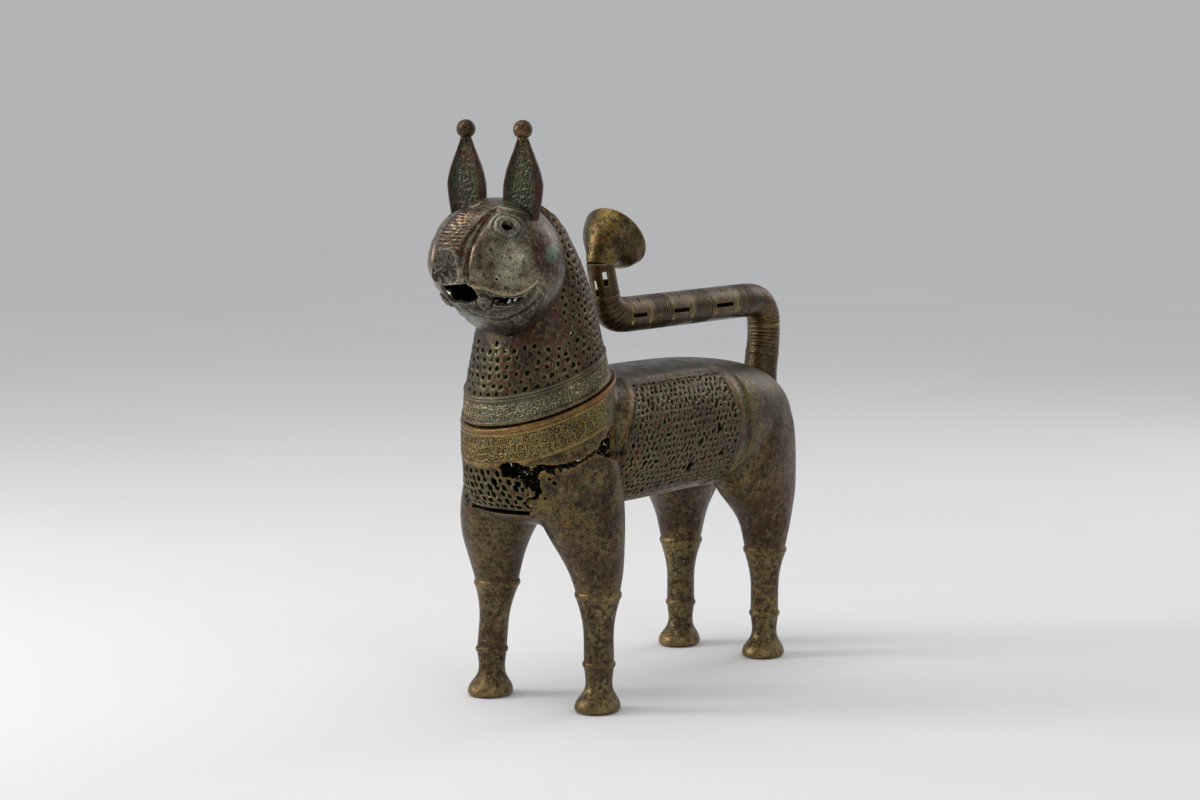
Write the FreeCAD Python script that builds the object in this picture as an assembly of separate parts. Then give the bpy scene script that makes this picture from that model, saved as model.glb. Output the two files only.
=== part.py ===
import FreeCAD, Part
import math
import os

# Lion incense burner in cast bronze, in millimetres. +Z is up, the lion faces -Y, its left flank is +X.
# The datum is the floor midway between the four feet; the finished part is moved to its own box centre at the end.

# Castings
WALL = 2.6
GAP = 0.3
SIDES = 16
FLAT = 1e-6

# Torso
BACK_HEIGHT = 197.5
BELLY_HEIGHT = 116.0
FLANK_HALF = 48.0
RUMP_Y = 156.0
RUMP_LENGTH = 68.0
RUMP_FALL = 47.0
RUMP_LIFT = 25.0
BARREL_FRONT_Y = -92.0

# Chest and the tilted seat of the head
CHEST_Y = -104.0
CHEST_HALF_WIDTH = 47.0
CHEST_HALF_DEPTH = 43.5
CHEST_BOTTOM = 110.5
CHEST_BAND = 18.0
SEAM_HEIGHT = 187.0
SEAM_PITCH = 19.7
SEAM_ROLL = 5.6
COLLAR_THICK = 3.0
COLLAR_LIP = 0.7
SPIGOT_HEIGHT = 4.0
SPIGOT_WALL = 1.8
SPIGOT_GAP = 0.5

# Neck
NECK_BAND = 17.0
NECK_BAND_RISE = 0.6
NECK_BASE_SHARE = 0.955
NECK_TOP = 300.0
NECK_SKIRT = 30.0

# Head
HEAD_R = 40.0
HEAD_Y = -143.6
HEAD_Z = 266.7
HEAD_TURN = -9.0
EYE_TURN = 56.0
EYE_LIFT = 39.0
EYE_HOLE_R = 3.6
EYE_RIM_R = 7.9
EYE_RIM_RISE = 0.5
CROWN_LIFT = 78.0
CROWN_HOLE_R = 1.9
CROWN_BOSS_R = 5.5
CROWN_BOSS_RISE = 1.6
NOSE_RISE = 2.4
NOSE_HALF = 10.0
MUZZLE_HALF = 12.0
STUD_ROOT = 7.0
CHIN_LIFT = -62.0
CHIN_REACH = 34.5
MOUTH_LIFT = -21.0
MOUTH_WIDE = 24.0
MOUTH_TALL = 10.0
CHEEK_SLOT_TURN = 57.0
CHEEK_SLOT_WIDE = 15.0
CHEEK_SLOT_TALL = 4.0
FANG_TURN = 35.0
FANG_LIFT = -28.0
FANG_R = 5.0
FANG_RISE = -2.0

# Ears
EAR_MIDDLE_X = -1.7
EAR_SPREAD = 20.8
EAR_Y = -143.5
EAR_SEAT = 301.0
EAR_HALF_WIDTH = 13.8
EAR_TOE_IN = 1.7
EAR_HALF_DEPTH = 8.0
EAR_LENGTH = 39.5
KNOB_R = 5.7

# Legs
FRONT_LEG_X = 40.4
REAR_LEG_X = 33.0
LEG_Y = 98.0
LEFT_LEAN = 0.6
RIGHT_LEAN = 4.4
FRONT_THIGH_TOP = 163.0
FRONT_THIGH_IN = 16.4
FRONT_THIGH_HALF = 27.0
FRONT_THIGH_DEEP = 26.0
FRONT_THIGH_FORWARD = 5.0
REAR_THIGH_TOP = 186.0
REAR_THIGH_IN = 17.0
REAR_THIGH_HALF = 25.0
REAR_THIGH_DEEP = 40.5
REAR_THIGH_FORWARD = 6.5
KNEE_HEIGHT = 70.0
ANKLE_HEIGHT = 28.0
KNEE_R = 14.5
ANKLE_R = 9.8
SHANK_R = 9.0
FOOT_R = 13.5
LEG_SIDES = 10

# Tail
TAIL_Y = 147.0
TAIL_R = 11.0
TAIL_WALL = 2.0
TAIL_ARM_HEIGHT = 229.5
TAIL_FRONT_Y = -22.0
TAIL_SEAT = 150.0
TAIL_SET_BACK = 4.0
ELBOW_DROP = 16.0
ELBOW_REACH = 20.0
BEND_RISE = 13.5
BEND_REACH = 12.5
TAIL_RIB = 0.7
TAIL_RIB_PITCH = 3.2
TAIL_SLOT_TALL = 5.5
TAIL_CUT_WIDE = 5.0
TAIL_CUT_LONG = 4.0
STEM_R = 8.6
STEM_LIP = 0.3
STEM_RISE = 19.5
STEM_REACH = 5.6
STEM_SLOT_WIDE = 4.0
STEM_SLOT_TALL = 13.5
BELL_R = 21.0
BELL_RISE = 15.6
BELL_REACH = 16.2
TAIL_SIDES = 12

# Pierced fields
HOLE = 5.4
HOLE_PITCH = 11.4
HOLE_ROW = 8.8
FIELD_EDGE = 4.4
FLANK_FIELD_REAR = 45.0
FLANK_FIELD_FRONT = -77.0
FLANK_FIELD_CORNER = 24.0
FLANK_FIELD_BOTTOM = BELLY_HEIGHT + 7.0
FLANK_FIELD_TOP = BACK_HEIGHT - 6.5
CHEST_FIELD_BOTTOM = CHEST_BOTTOM + 7.5
CHEST_FIELD_ANGLE = 62.0
NECK_FIELD_DROP = 30.0
NECK_COLUMNS = 18


def point(x, y, z):
    return FreeCAD.Vector(x, y, z)


def unit(vector):
    copy = FreeCAD.Vector(vector)
    copy.normalize()
    return copy


def flat_face(points):
    return Part.Face(Part.makePolygon(points + [points[0]]))


def power_cos(angle, power):
    value = math.cos(angle)
    return math.copysign(abs(value) ** (2.0 / power), value)


def power_sin(angle, power):
    value = math.sin(angle)
    return math.copysign(abs(value) ** (2.0 / power), value)


# A level ring round (x, y) at height z
def level_ring(x, y, z, half_x, half_y, sides=SIDES, power=2.0):
    points = []
    for i in range(sides):
        angle = 2 * math.pi * (i + 0.5) / sides
        points.append(point(x + half_x * power_cos(angle, power), y + half_y * power_sin(angle, power), z))
    return points


# An upright ring across the body at y
def cross_ring(y, half_x, bottom, top, sides=SIDES, power=2.5):
    points = []
    middle = (bottom + top) / 2
    half_z = (top - bottom) / 2
    for i in range(sides):
        angle = 2 * math.pi * (i + 0.5) / sides
        points.append(point(half_x * power_cos(angle, power), y, middle + half_z * power_sin(angle, power)))
    return points


# A ring square to an axis that lies in the YZ plane
def axis_ring(y, z, lean, radius, sides):
    side = point(1, 0, 0)
    across = point(0, math.cos(math.radians(lean)), math.sin(math.radians(lean)))
    points = []
    for i in range(sides):
        angle = 2 * math.pi * (i + 0.5) / sides
        offset = side * (radius * math.cos(angle)) + across * (radius * math.sin(angle))
        points.append(point(0, y, z) + offset)
    return points


# A closed skin of flat facets from ring to ring, with its two ends filled
def skin(rings):
    faces = [flat_face(rings[0]), flat_face(rings[-1])]
    for low, high in zip(rings, rings[1:]):
        for i in range(len(low)):
            j = (i + 1) % len(low)
            a, b, c, d = low[i], low[j], high[j], high[i]
            normal = unit((b - a).cross(d - a))
            if abs(normal.dot(c - a)) < FLAT:
                faces.append(flat_face([a, b, c, d]))
            else:
                faces.append(flat_face([a, b, c]))
                faces.append(flat_face([a, c, d]))
    solid = Part.Solid(Part.Shell(faces))
    if solid.Volume < 0:
        solid.reverse()
    return solid


def seam_frame():
    pitch = FreeCAD.Rotation(point(1, 0, 0), SEAM_PITCH)
    roll = FreeCAD.Rotation(point(0, 1, 0), -SEAM_ROLL)
    return FreeCAD.Placement(point(0, CHEST_Y, SEAM_HEIGHT), pitch.multiply(roll))


# The slab between two offsets from the seam plane
def seam_slab(low, high):
    reach = RUMP_Y - CHEST_Y
    slab = Part.makeBox(2 * reach, 2 * reach, high - low, point(-reach, -reach, low))
    slab.Placement = seam_frame()
    return slab


# The barrel from breast to rump, even to the haunch and rounded off behind it:
# share of the way, share of the width, share of the belly's lift, share of the back's fall
def barrel(inset):
    haunch = RUMP_Y - RUMP_LENGTH
    even = [
        (0.0, 0.94, 0.0, 0.0),
        (0.18, 1.0, 0.0, 0.0),
        (0.51, 0.99, 0.0, -0.02),
        (0.82, 0.99, 0.0, 0.0),
    ]
    rounded = [
        (0.0, 0.98, 0.0, 0.075),
        (0.265, 0.92, 0.0, 0.16),
        (0.5, 0.80, 0.04, 0.30),
        (0.705, 0.62, 0.24, 0.53),
        (0.87, 0.42, 0.56, 0.79),
        (1.0, 0.17, 1.0, 1.0),
    ]
    front = BARREL_FRONT_Y + inset
    stations = [(front + (haunch - front) * way, share, lift, fall) for way, share, lift, fall in even]
    stations += [(haunch + (RUMP_LENGTH - inset) * way, share, lift, fall) for way, share, lift, fall in rounded]
    rings = []
    for y, share, lift, fall in stations:
        bottom = BELLY_HEIGHT + RUMP_LIFT * lift + inset
        top = BACK_HEIGHT - RUMP_FALL * fall - inset
        rings.append(cross_ring(y, FLANK_HALF * share - inset, bottom, top))
    return skin(rings)


# The breast, an upright barrel under the neck: height, share of width, share of depth, shift forward
def chest(inset, top):
    stations = [
        (CHEST_BOTTOM + inset, 0.50, 0.45, -6.0),
        (CHEST_BOTTOM + 5.0 + inset, 0.78, 0.75, -3.0),
        (CHEST_BOTTOM + 15.0, 0.95, 0.94, 0.0),
        (CHEST_BOTTOM + 33.0, 1.0, 1.0, 0.0),
        (top, 1.0, 1.0, 0.0),
    ]
    rings = []
    for z, wide, deep, forward in stations:
        half_x = CHEST_HALF_WIDTH * wide - inset
        half_y = CHEST_HALF_DEPTH * deep - inset
        rings.append(level_ring(0, CHEST_Y - forward, z, half_x, half_y))
    return skin(rings)


# The neck rises from below the seam as a tapering dome: share of its rise, share of the chest's size
def neck(inset, grow=0.0):
    rise = NECK_TOP - SEAM_HEIGHT - inset
    stations = [
        (0.035, NECK_BASE_SHARE),
        (0.26, 0.86),
        (0.40, 0.79),
        (0.61, 0.655),
        (0.735, 0.535),
        (0.86, 0.39),
        (0.94, 0.265),
        (1.0, 0.12),
    ]
    levels = [(SEAM_HEIGHT - NECK_SKIRT, NECK_BASE_SHARE + 0.03)]
    levels += [(SEAM_HEIGHT + rise * climb, share) for climb, share in stations]
    rings = []
    for z, share in levels:
        half_x = CHEST_HALF_WIDTH * share - inset + grow
        half_y = CHEST_HALF_DEPTH * share - inset + grow
        rings.append(level_ring(0, CHEST_Y, z, half_x, half_y))
    return skin(rings)


# The head is nearly a ball whose jaw is narrower in front: lift in degrees, share of the front depth, squareness
def head_ball(inset):
    radius = HEAD_R - inset
    bands = [
        (-82.0, 0.80, 1.3),
        (-61.0, 0.76, 1.3),
        (-41.0, 0.82, 1.35),
        (-20.0, 0.98, 1.6),
        (0.0, 1.0, 2.0),
        (20.0, 1.0, 2.0),
        (40.0, 0.97, 2.0),
        (61.0, 0.95, 2.0),
        (82.0, 1.0, 2.0),
    ]
    rings = []
    for lift, front, power in bands:
        z = HEAD_Z + radius * math.sin(math.radians(lift))
        size = radius * math.cos(math.radians(lift))
        ring = level_ring(0, 0, z, size, size)
        snout = level_ring(0, 0, z, size, size * front, SIDES, power)
        points = [snout[i] if ring[i].y < 0 else ring[i] for i in range(SIDES)]
        turn = math.radians(HEAD_TURN)
        turned = []
        for p in points:
            x = p.x * math.cos(turn) - p.y * math.sin(turn)
            y = p.x * math.sin(turn) + p.y * math.cos(turn)
            turned.append(point(x, HEAD_Y + y, z))
        rings.append(turned)
    return skin(rings).cut(below_chin(inset))


# The throat under the jaw is flat
def below_chin(inset):
    reach = 2 * HEAD_R
    outline = [(-reach, -reach), (reach, -reach), (reach, reach), (-reach, reach)]
    return head_prism(0, CHIN_LIFT, outline, CHIN_REACH - inset, reach)


def above_seam(offset):
    return seam_slab(offset, RUMP_Y - CHEST_Y)


# Height over a place of a plane parallel to the seam
def seam_height_over(x, y, offset):
    pitch = math.radians(SEAM_PITCH)
    return SEAM_HEIGHT + (y - CHEST_Y) * math.tan(pitch) + x * math.tan(math.radians(SEAM_ROLL)) + offset / math.cos(pitch)


# The same on the chest, at a turn from straight ahead
def seam_height_at(turn, offset, radius):
    angle = math.radians(turn)
    return seam_height_over(radius * math.sin(angle), CHEST_Y - radius * math.cos(angle), offset)


# A three-sided prism for one pierced hole, point up or point down
def pierce(centre, along, across, length, size, upright):
    high = point(0, 0, 1 if upright else -1)
    start = centre - along * (length / 2)
    corners = [start + high * (size * 0.62)]
    corners.append(start + across * (size * 0.56) - high * (size * 0.42))
    corners.append(start - across * (size * 0.56) - high * (size * 0.42))
    return flat_face(corners).extrude(along * length)


# The flank's pierced field, with its front corner cut back under the shoulder line
def flank_outline():
    tall = FLANK_FIELD_TOP - FLANK_FIELD_BOTTOM
    corners = [(FLANK_FIELD_REAR, FLANK_FIELD_BOTTOM), (FLANK_FIELD_REAR, FLANK_FIELD_TOP)]
    for back, climb in ((1.0, 1.0), (0.42, 0.81), (0.0, 0.54), (0.0, 0.22), (0.46, 0.0)):
        corners.append((FLANK_FIELD_FRONT + FLANK_FIELD_CORNER * back, FLANK_FIELD_BOTTOM + tall * climb))
    return corners


# The field keeps its edge's width below the collar
def flank_window(side):
    near = FLANK_HALF / 3
    corners = [point(side * near, y, z) for y, z in flank_outline()]
    window = flat_face(corners).extrude(point(side * FLANK_HALF, 0, 0))
    return window.cut(above_seam(-COLLAR_THICK - FIELD_EDGE))


def flank_front_at(z):
    outline = flank_outline()[2:]
    for (y1, z1), (y2, z2) in zip(outline, outline[1:]):
        if z2 <= z <= z1:
            return y1 + (y2 - y1) * (z1 - z) / (z1 - z2)
    return outline[-1][0]


def flank_holes(side):
    holes = []
    rows = int((FLANK_FIELD_TOP - FLANK_FIELD_BOTTOM - 2 * FIELD_EDGE) / HOLE_ROW)
    for row in range(rows + 1):
        z = FLANK_FIELD_BOTTOM + FIELD_EDGE + row * HOLE_ROW
        y = FLANK_FIELD_REAR - FIELD_EDGE - (row % 2) * HOLE_PITCH / 2
        column = 0
        while y > flank_front_at(z) + FIELD_EDGE:
            upright = (row + column) % 2 == 0
            centre = point(side * FLANK_HALF, y, z)
            if z < seam_height_over(centre.x, y, -COLLAR_THICK - FIELD_EDGE) - FIELD_EDGE:
                holes.append(pierce(centre, point(1, 0, 0), point(0, 1, 0), FLANK_HALF, HOLE, upright))
            y -= HOLE_PITCH
            column += 1
    return holes


# A wedge from the chest's axis, open to the front
def chest_window():
    reach = 2 * CHEST_HALF_WIDTH
    points = [point(0, CHEST_Y, CHEST_FIELD_BOTTOM)]
    for turn, share in ((-1, 1), (0, 1 / math.cos(math.radians(CHEST_FIELD_ANGLE))), (1, 1)):
        angle = math.radians(turn * CHEST_FIELD_ANGLE)
        points.append(point(0, CHEST_Y, CHEST_FIELD_BOTTOM) + turned_out(angle) * (reach * share))
    wedge = flat_face(points).extrude(point(0, 0, SEAM_HEIGHT + CHEST_HALF_DEPTH - CHEST_FIELD_BOTTOM))
    return wedge.cut(above_seam(-COLLAR_THICK - CHEST_BAND))


# Level direction at an angle in radians from straight ahead
def turned_out(angle):
    return point(math.sin(angle), -math.cos(angle), 0)


def radial_hole(turn, z, size, upright):
    outward = turned_out(math.radians(turn))
    across = point(-outward.y, outward.x, 0)
    centre = point(0, CHEST_Y, z) + outward * (0.87 * CHEST_HALF_WIDTH)
    return pierce(centre, outward, across, 0.72 * CHEST_HALF_WIDTH, size, upright)


def chest_holes():
    holes = []
    step = math.degrees(HOLE_PITCH / CHEST_HALF_WIDTH)
    count = int(CHEST_FIELD_ANGLE / step)
    rows = int((SEAM_HEIGHT - CHEST_FIELD_BOTTOM) / HOLE_ROW)
    for row in range(rows):
        z = CHEST_FIELD_BOTTOM + FIELD_EDGE + row * HOLE_ROW
        for i in range(-count, count + 1):
            turn = (i + 0.5 * (row % 2)) * step
            limit = seam_height_at(turn, -COLLAR_THICK - CHEST_BAND, CHEST_HALF_DEPTH) - FIELD_EDGE
            if abs(turn) < CHEST_FIELD_ANGLE - step * 0.45 and z < limit:
                holes.append(radial_hole(turn, z, HOLE, (row + i) % 2 == 0))
    return holes


def neck_holes():
    holes = []
    top = NECK_TOP - NECK_FIELD_DROP
    rows = int((top - SEAM_HEIGHT + NECK_SKIRT) / HOLE_ROW)
    for row in range(rows):
        z = top - row * HOLE_ROW
        for i in range(NECK_COLUMNS):
            turn = (i + 0.5 * (row % 2)) * 360.0 / NECK_COLUMNS
            low = seam_height_at(turn, NECK_BAND, CHEST_HALF_DEPTH * 0.9) + FIELD_EDGE
            from_front = min(turn, 360.0 - turn)
            clear_of_head = from_front > 66 or z < HEAD_Z - HEAD_R - FIELD_EDGE
            if z > low and clear_of_head:
                holes.append(radial_hole(turn, z, HOLE * 0.85, (row + i) % 2 == 0))
    return holes


# Metal lost from the left of the breast: corners as turns from straight ahead and
# shares of the height between the foot of the pierced field and the plain band under the seam
def losses():
    breast = [(6, 1.03), (10, 0.83), (23, 0.67), (25, 0.53), (28, 0.34), (37, 0.41), (42, 0.64), (44, 0.79), (30, 0.87)]
    slit = [(40, 0.78), (42, 0.86), (66, 0.81), (92, 0.81), (92, 0.71), (68, 0.71)]
    shoulder = [(87, 0.90), (103, 0.98), (111, 0.92), (114, 0.73), (112, 0.52), (101, 0.60), (88, 0.71)]
    cuts = []
    for outline in (breast, slit, shoulder):
        middle = math.radians(sum(turn for turn, share in outline) / len(outline))
        outward = turned_out(middle)
        across = point(-outward.y, outward.x, 0)
        start = point(0, CHEST_Y, 0) + outward * (0.4 * CHEST_HALF_WIDTH)
        corners = []
        for turn, share in outline:
            top = seam_height_at(turn, -COLLAR_THICK - CHEST_BAND, CHEST_HALF_DEPTH)
            z = CHEST_FIELD_BOTTOM + share * (top - CHEST_FIELD_BOTTOM)
            sideways = CHEST_HALF_WIDTH * math.sin(math.radians(turn) - middle)
            corners.append(start + across * sideways + point(0, 0, z))
        cuts.append(flat_face(corners).extrude(outward * CHEST_HALF_WIDTH))
    return cuts


# A level ring of the chest's outline, larger or smaller than the wall
def oval(z, inset, share=1.0):
    return level_ring(0, CHEST_Y, z, CHEST_HALF_WIDTH * share - inset, CHEST_HALF_DEPTH * share - inset)


def collar():
    low, high = SEAM_HEIGHT - CHEST_HALF_DEPTH, SEAM_HEIGHT + CHEST_HALF_DEPTH
    flange = skin([oval(low, -COLLAR_LIP), oval(high, -COLLAR_LIP)]).common(seam_slab(-COLLAR_THICK, 0.0))
    inset = WALL + SPIGOT_GAP
    base = NECK_BASE_SHARE
    sleeve = skin([oval(low, inset, base), oval(SEAM_HEIGHT, inset, base), oval(high, inset, base - 0.17)])
    spigot = sleeve.common(seam_slab(-COLLAR_THICK, SPIGOT_HEIGHT))
    inner = inset + SPIGOT_WALL
    below, above = low - COLLAR_THICK, high + COLLAR_THICK
    bore = skin([oval(below, inner, base), oval(SEAM_HEIGHT, inner, base), oval(above, inner, base - 0.18)])
    return flange.fuse(spigot).cut(bore)


# One level up a leg: height, shift out, shift back, half width, half depth
def shank():
    between = KNEE_HEIGHT - ANKLE_HEIGHT
    return [
        (0.0, 0, -0.11 * FOOT_R, 0.86 * FOOT_R, 1.0 * FOOT_R),
        (0.07 * ANKLE_HEIGHT, 0, -0.11 * FOOT_R, 0.97 * FOOT_R, 1.10 * FOOT_R),
        (0.21 * ANKLE_HEIGHT, 0, -0.09 * FOOT_R, 0.93 * FOOT_R, 1.04 * FOOT_R),
        (0.39 * ANKLE_HEIGHT, 0, -0.03 * FOOT_R, 0.68 * FOOT_R, 0.70 * FOOT_R),
        (0.61 * ANKLE_HEIGHT, 0, 0, 0.80 * ANKLE_R, 0.80 * ANKLE_R),
        (ANKLE_HEIGHT - 2.5, 0, 0, 0.92 * ANKLE_R, 0.92 * ANKLE_R),
        (ANKLE_HEIGHT - 1.0, 0, 0, 1.04 * ANKLE_R, 1.04 * ANKLE_R),
        (ANKLE_HEIGHT + 1.0, 0, 0, 1.04 * ANKLE_R, 1.04 * ANKLE_R),
        (ANKLE_HEIGHT + 2.5, 0, 0, 0.94 * ANKLE_R, 0.94 * ANKLE_R),
        (ANKLE_HEIGHT + 0.48 * between, 0, 0, SHANK_R, SHANK_R),
        (ANKLE_HEIGHT + 0.76 * between, 0, 0, 1.2 * SHANK_R, 1.2 * SHANK_R),
        (KNEE_HEIGHT - 2.6, 0, 0, 0.9 * KNEE_R, 0.9 * KNEE_R),
        (KNEE_HEIGHT - 1.2, 0, 0, KNEE_R, KNEE_R),
        (KNEE_HEIGHT + 1.2, 0, 0, KNEE_R, KNEE_R),
        (KNEE_HEIGHT + 2.6, 0, 0, 0.92 * KNEE_R, 0.92 * KNEE_R),
    ]


# Shares of the way from knee to top, of the shift inward, of the shift forward, of half width and of half depth
def front_thigh():
    shares = [
        (0.16, 0.03, 0.30, 0.615, 0.64),
        (0.29, 0.15, 0.80, 0.75, 0.78),
        (0.40, 0.335, 1.0, 0.87, 0.905),
        (0.515, 0.52, 1.0, 0.965, 1.0),
        (0.645, 0.635, 0.90, 1.0, 0.98),
        (0.805, 0.755, 0.50, 1.0, 0.81),
        (0.935, 0.88, 0.20, 0.89, 0.54),
        (1.0, 1.0, 0.0, 0.665, 0.27),
    ]
    return thigh(shares, FRONT_THIGH_TOP, FRONT_THIGH_IN, FRONT_THIGH_FORWARD, FRONT_THIGH_HALF, FRONT_THIGH_DEEP)


def rear_thigh():
    shares = [
        (0.155, 0.0, 0.0, 0.66, 0.42),
        (0.235, 0.06, 0.23, 0.74, 0.555),
        (0.33, 0.205, 0.54, 0.84, 0.80),
        (0.43, 0.325, 0.92, 0.90, 0.94),
        (0.605, 0.47, 1.0, 1.0, 1.0),
        (0.775, 0.56, 0.77, 0.94, 0.94),
        (0.915, 0.765, 0.77, 0.68, 0.79),
        (1.0, 1.0, 0.77, 0.36, 0.54),
    ]
    return thigh(shares, REAR_THIGH_TOP, REAR_THIGH_IN, REAR_THIGH_FORWARD, REAR_THIGH_HALF, REAR_THIGH_DEEP)


def thigh(shares, top, inward, forward, half, deep):
    levels = []
    for climb, toward, ahead, wide, long in shares:
        z = KNEE_HEIGHT + climb * (top - KNEE_HEIGHT)
        levels.append((z, -toward * inward, -ahead * forward, wide * half, long * deep))
    return levels


def largest(shape):
    return max(shape.Solids, key=lambda piece: piece.Volume)


# A leg that leans inward between ankle and knee
def leg(side, x, y, lean, thigh, torso):
    rings = []
    for z, out, back, half_x, half_y in shank() + thigh:
        climb = min(max((z - ANKLE_HEIGHT) / (KNEE_HEIGHT - ANKLE_HEIGHT), 0.0), 1.0)
        rings.append(level_ring(side * (x + out - lean * climb), y + back, z, half_x, half_y, LEG_SIDES))
    return largest(skin(rings).cut(torso))


# A cupped leaf: rounded behind, hollow in front
def ear(side, ball):
    x = EAR_MIDDLE_X + side * EAR_SPREAD
    stations = [
        (-0.42, 0.74, 1.0),
        (-0.08, 0.90, 0.7),
        (0.15, 0.98, 0.35),
        (0.34, 1.0, 0.0),
        (0.56, 0.84, 0.0),
        (0.78, 0.56, 0.0),
        (0.95, 0.34, 0.0),
        (1.0, 0.30, 0.0),
    ]
    rings = []
    for climb, share, toe in stations:
        points = []
        for i in range(12):
            angle = 2 * math.pi * i / 12
            across = EAR_HALF_WIDTH * share * math.cos(angle)
            deep = EAR_HALF_DEPTH * share * math.sin(angle)
            if deep < 0:
                deep = deep * (0.5 - 0.2 * abs(math.sin(angle)))
            points.append(point(x + across - side * toe * EAR_TOE_IN, EAR_Y + deep, EAR_SEAT + climb * EAR_LENGTH))
        rings.append(points)
    return skin(rings).cut(ball)


def knob(side):
    x = EAR_MIDDLE_X + side * EAR_SPREAD
    middle = EAR_SEAT + EAR_LENGTH + KNOB_R * math.sin(math.radians(66))
    rings = []
    for lift in (-66, -40, -13, 13, 40, 66, 82):
        size = KNOB_R * math.cos(math.radians(lift))
        z = middle + KNOB_R * math.sin(math.radians(lift))
        rings.append(level_ring(x, EAR_Y, z, size, size, 10))
    return skin(rings)


# Direction out of the head's middle, turned from the face and lifted
def gaze(turn, lift):
    side = math.radians(turn + HEAD_TURN)
    rise = math.radians(lift)
    return point(math.sin(side) * math.cos(rise), -math.cos(side) * math.cos(rise), math.sin(rise))


# A prism that stands on the head along a gaze, from an inner to an outer radius, on an outline of (across, up)
def head_prism(turn, lift, outline, inner, outer):
    direction = gaze(turn, lift)
    across = unit(point(0, 0, 1).cross(direction))
    up = direction.cross(across)
    start = point(0, HEAD_Y, HEAD_Z) + direction * inner
    corners = [start + across * u + up * v for u, v in outline]
    return flat_face(corners).extrude(direction * (outer - inner))


def disc(radius, sides):
    steps = [2 * math.pi * (i + 0.5) / sides for i in range(sides)]
    return [(radius * math.cos(a), radius * math.sin(a)) for a in steps]


def blunt_slot(wide, tall):
    u, v = wide / 2, tall / 2
    return [(u, 0), (u * 0.7, v), (-u * 0.7, v), (-u, 0), (-u * 0.7, -v), (u * 0.7, -v)]


# Ridge of the nose down the brow, as cross rings from crown to muzzle
def nose(ball):
    rings = []
    for lift, wide, share in ((60, 0.4, 0.25), (46, 0.65, 0.58), (32, 0.85, 0.8), (19, 1.0, 1.0)):
        half = NOSE_HALF * wide
        rise = NOSE_RISE * share
        direction = gaze(0, lift)
        across = unit(point(0, 0, 1).cross(direction))
        middle = point(0, HEAD_Y, HEAD_Z)
        ring = []
        edge = NOSE_RISE / 6
        profile = [(-half, -STUD_ROOT), (half, -STUD_ROOT), (half, edge), (half / 2, rise), (-half / 2, rise), (-half, edge)]
        for u, r in profile:
            ring.append(middle + direction * (HEAD_R + r) + across * u)
        rings.append(ring)
    return skin(rings).cut(ball)


def muzzle(ball):
    corners = [(0, 0.92), (-0.92, 0.25), (-1.0, -0.33), (-0.5, -0.92), (0.5, -0.92), (1.0, -0.33), (0.92, 0.25)]
    outline = [(MUZZLE_HALF * u, MUZZLE_HALF * v) for u, v in corners]
    return head_prism(0, -1, outline, HEAD_R - STUD_ROOT, HEAD_R + NOSE_RISE).cut(ball)


# Levels along the tail: place, height, lean of the axis from upright, radius
def tail_root_path(ribs):
    elbow = TAIL_ARM_HEIGHT - ELBOW_DROP
    set_back = TAIL_Y - TAIL_SET_BACK
    path = [(set_back, TAIL_SEAT, 0, TAIL_R + 0.4), (set_back, elbow - 2 * ELBOW_DROP, 0, TAIL_R + 0.4)]
    path.append((TAIL_Y - 0.15 * TAIL_SET_BACK, elbow - 1.1 * ELBOW_DROP, 0, TAIL_R + 0.2))
    count = int(0.87 * ELBOW_DROP / TAIL_RIB_PITCH) if ribs else 0
    for i in range(count, 0, -1):
        z = elbow - 1.2 - i * TAIL_RIB_PITCH
        path.append((TAIL_Y, z, 0, TAIL_R - TAIL_RIB))
        path.append((TAIL_Y, z + TAIL_RIB_PITCH / 2, 0, TAIL_R))
    path.append((TAIL_Y, elbow, 10, TAIL_R - TAIL_RIB))
    return path


# A place along the tail's arm as a share of its length, from the elbow forward
def along_arm(share):
    return TAIL_Y + (TAIL_FRONT_Y - TAIL_Y) * share


def tail_arm_path(ribs):
    height = TAIL_ARM_HEIGHT
    path = [
        (TAIL_Y, height - ELBOW_DROP, 10, TAIL_R - TAIL_RIB),
        (TAIL_Y - 0.1 * ELBOW_REACH, height - 0.65 * ELBOW_DROP, 32, TAIL_R - 0.6),
        (TAIL_Y - 0.475 * ELBOW_REACH, height - 0.22 * ELBOW_DROP, 58, TAIL_R - 0.4),
        (TAIL_Y - ELBOW_REACH, height, 84, TAIL_R),
    ]
    for start in (0.172, 0.456, 0.74):
        for i in range(2 if ribs else 0):
            y = along_arm(start) - i * TAIL_RIB_PITCH * 2.5
            path.append((y, height, 90, TAIL_R - TAIL_RIB))
            path.append((y - TAIL_RIB_PITCH, height, 90, TAIL_R))
    path += [
        (TAIL_FRONT_Y, height, 88, TAIL_R - 0.2),
        (TAIL_FRONT_Y - 0.52 * BEND_REACH, height + 0.185 * BEND_RISE, 62, TAIL_R - 0.8),
        (TAIL_FRONT_Y - 0.84 * BEND_REACH, height + 0.555 * BEND_RISE, 34, TAIL_R - 1.5),
        (TAIL_FRONT_Y - BEND_REACH, height + BEND_RISE, 17, STEM_R + 0.2),
    ]
    return path


def stem_path():
    front = TAIL_FRONT_Y - BEND_REACH
    base = TAIL_ARM_HEIGHT + BEND_RISE
    return [
        (front, base, 17, STEM_R + 0.2),
        (front - 0.45 * STEM_REACH, base + 0.41 * STEM_RISE, 18, STEM_R),
        (front - 0.89 * STEM_REACH, base + 0.77 * STEM_RISE, 14, STEM_R),
        (front - STEM_REACH, base + STEM_RISE, 0, STEM_R + STEM_LIP),
    ]


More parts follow.
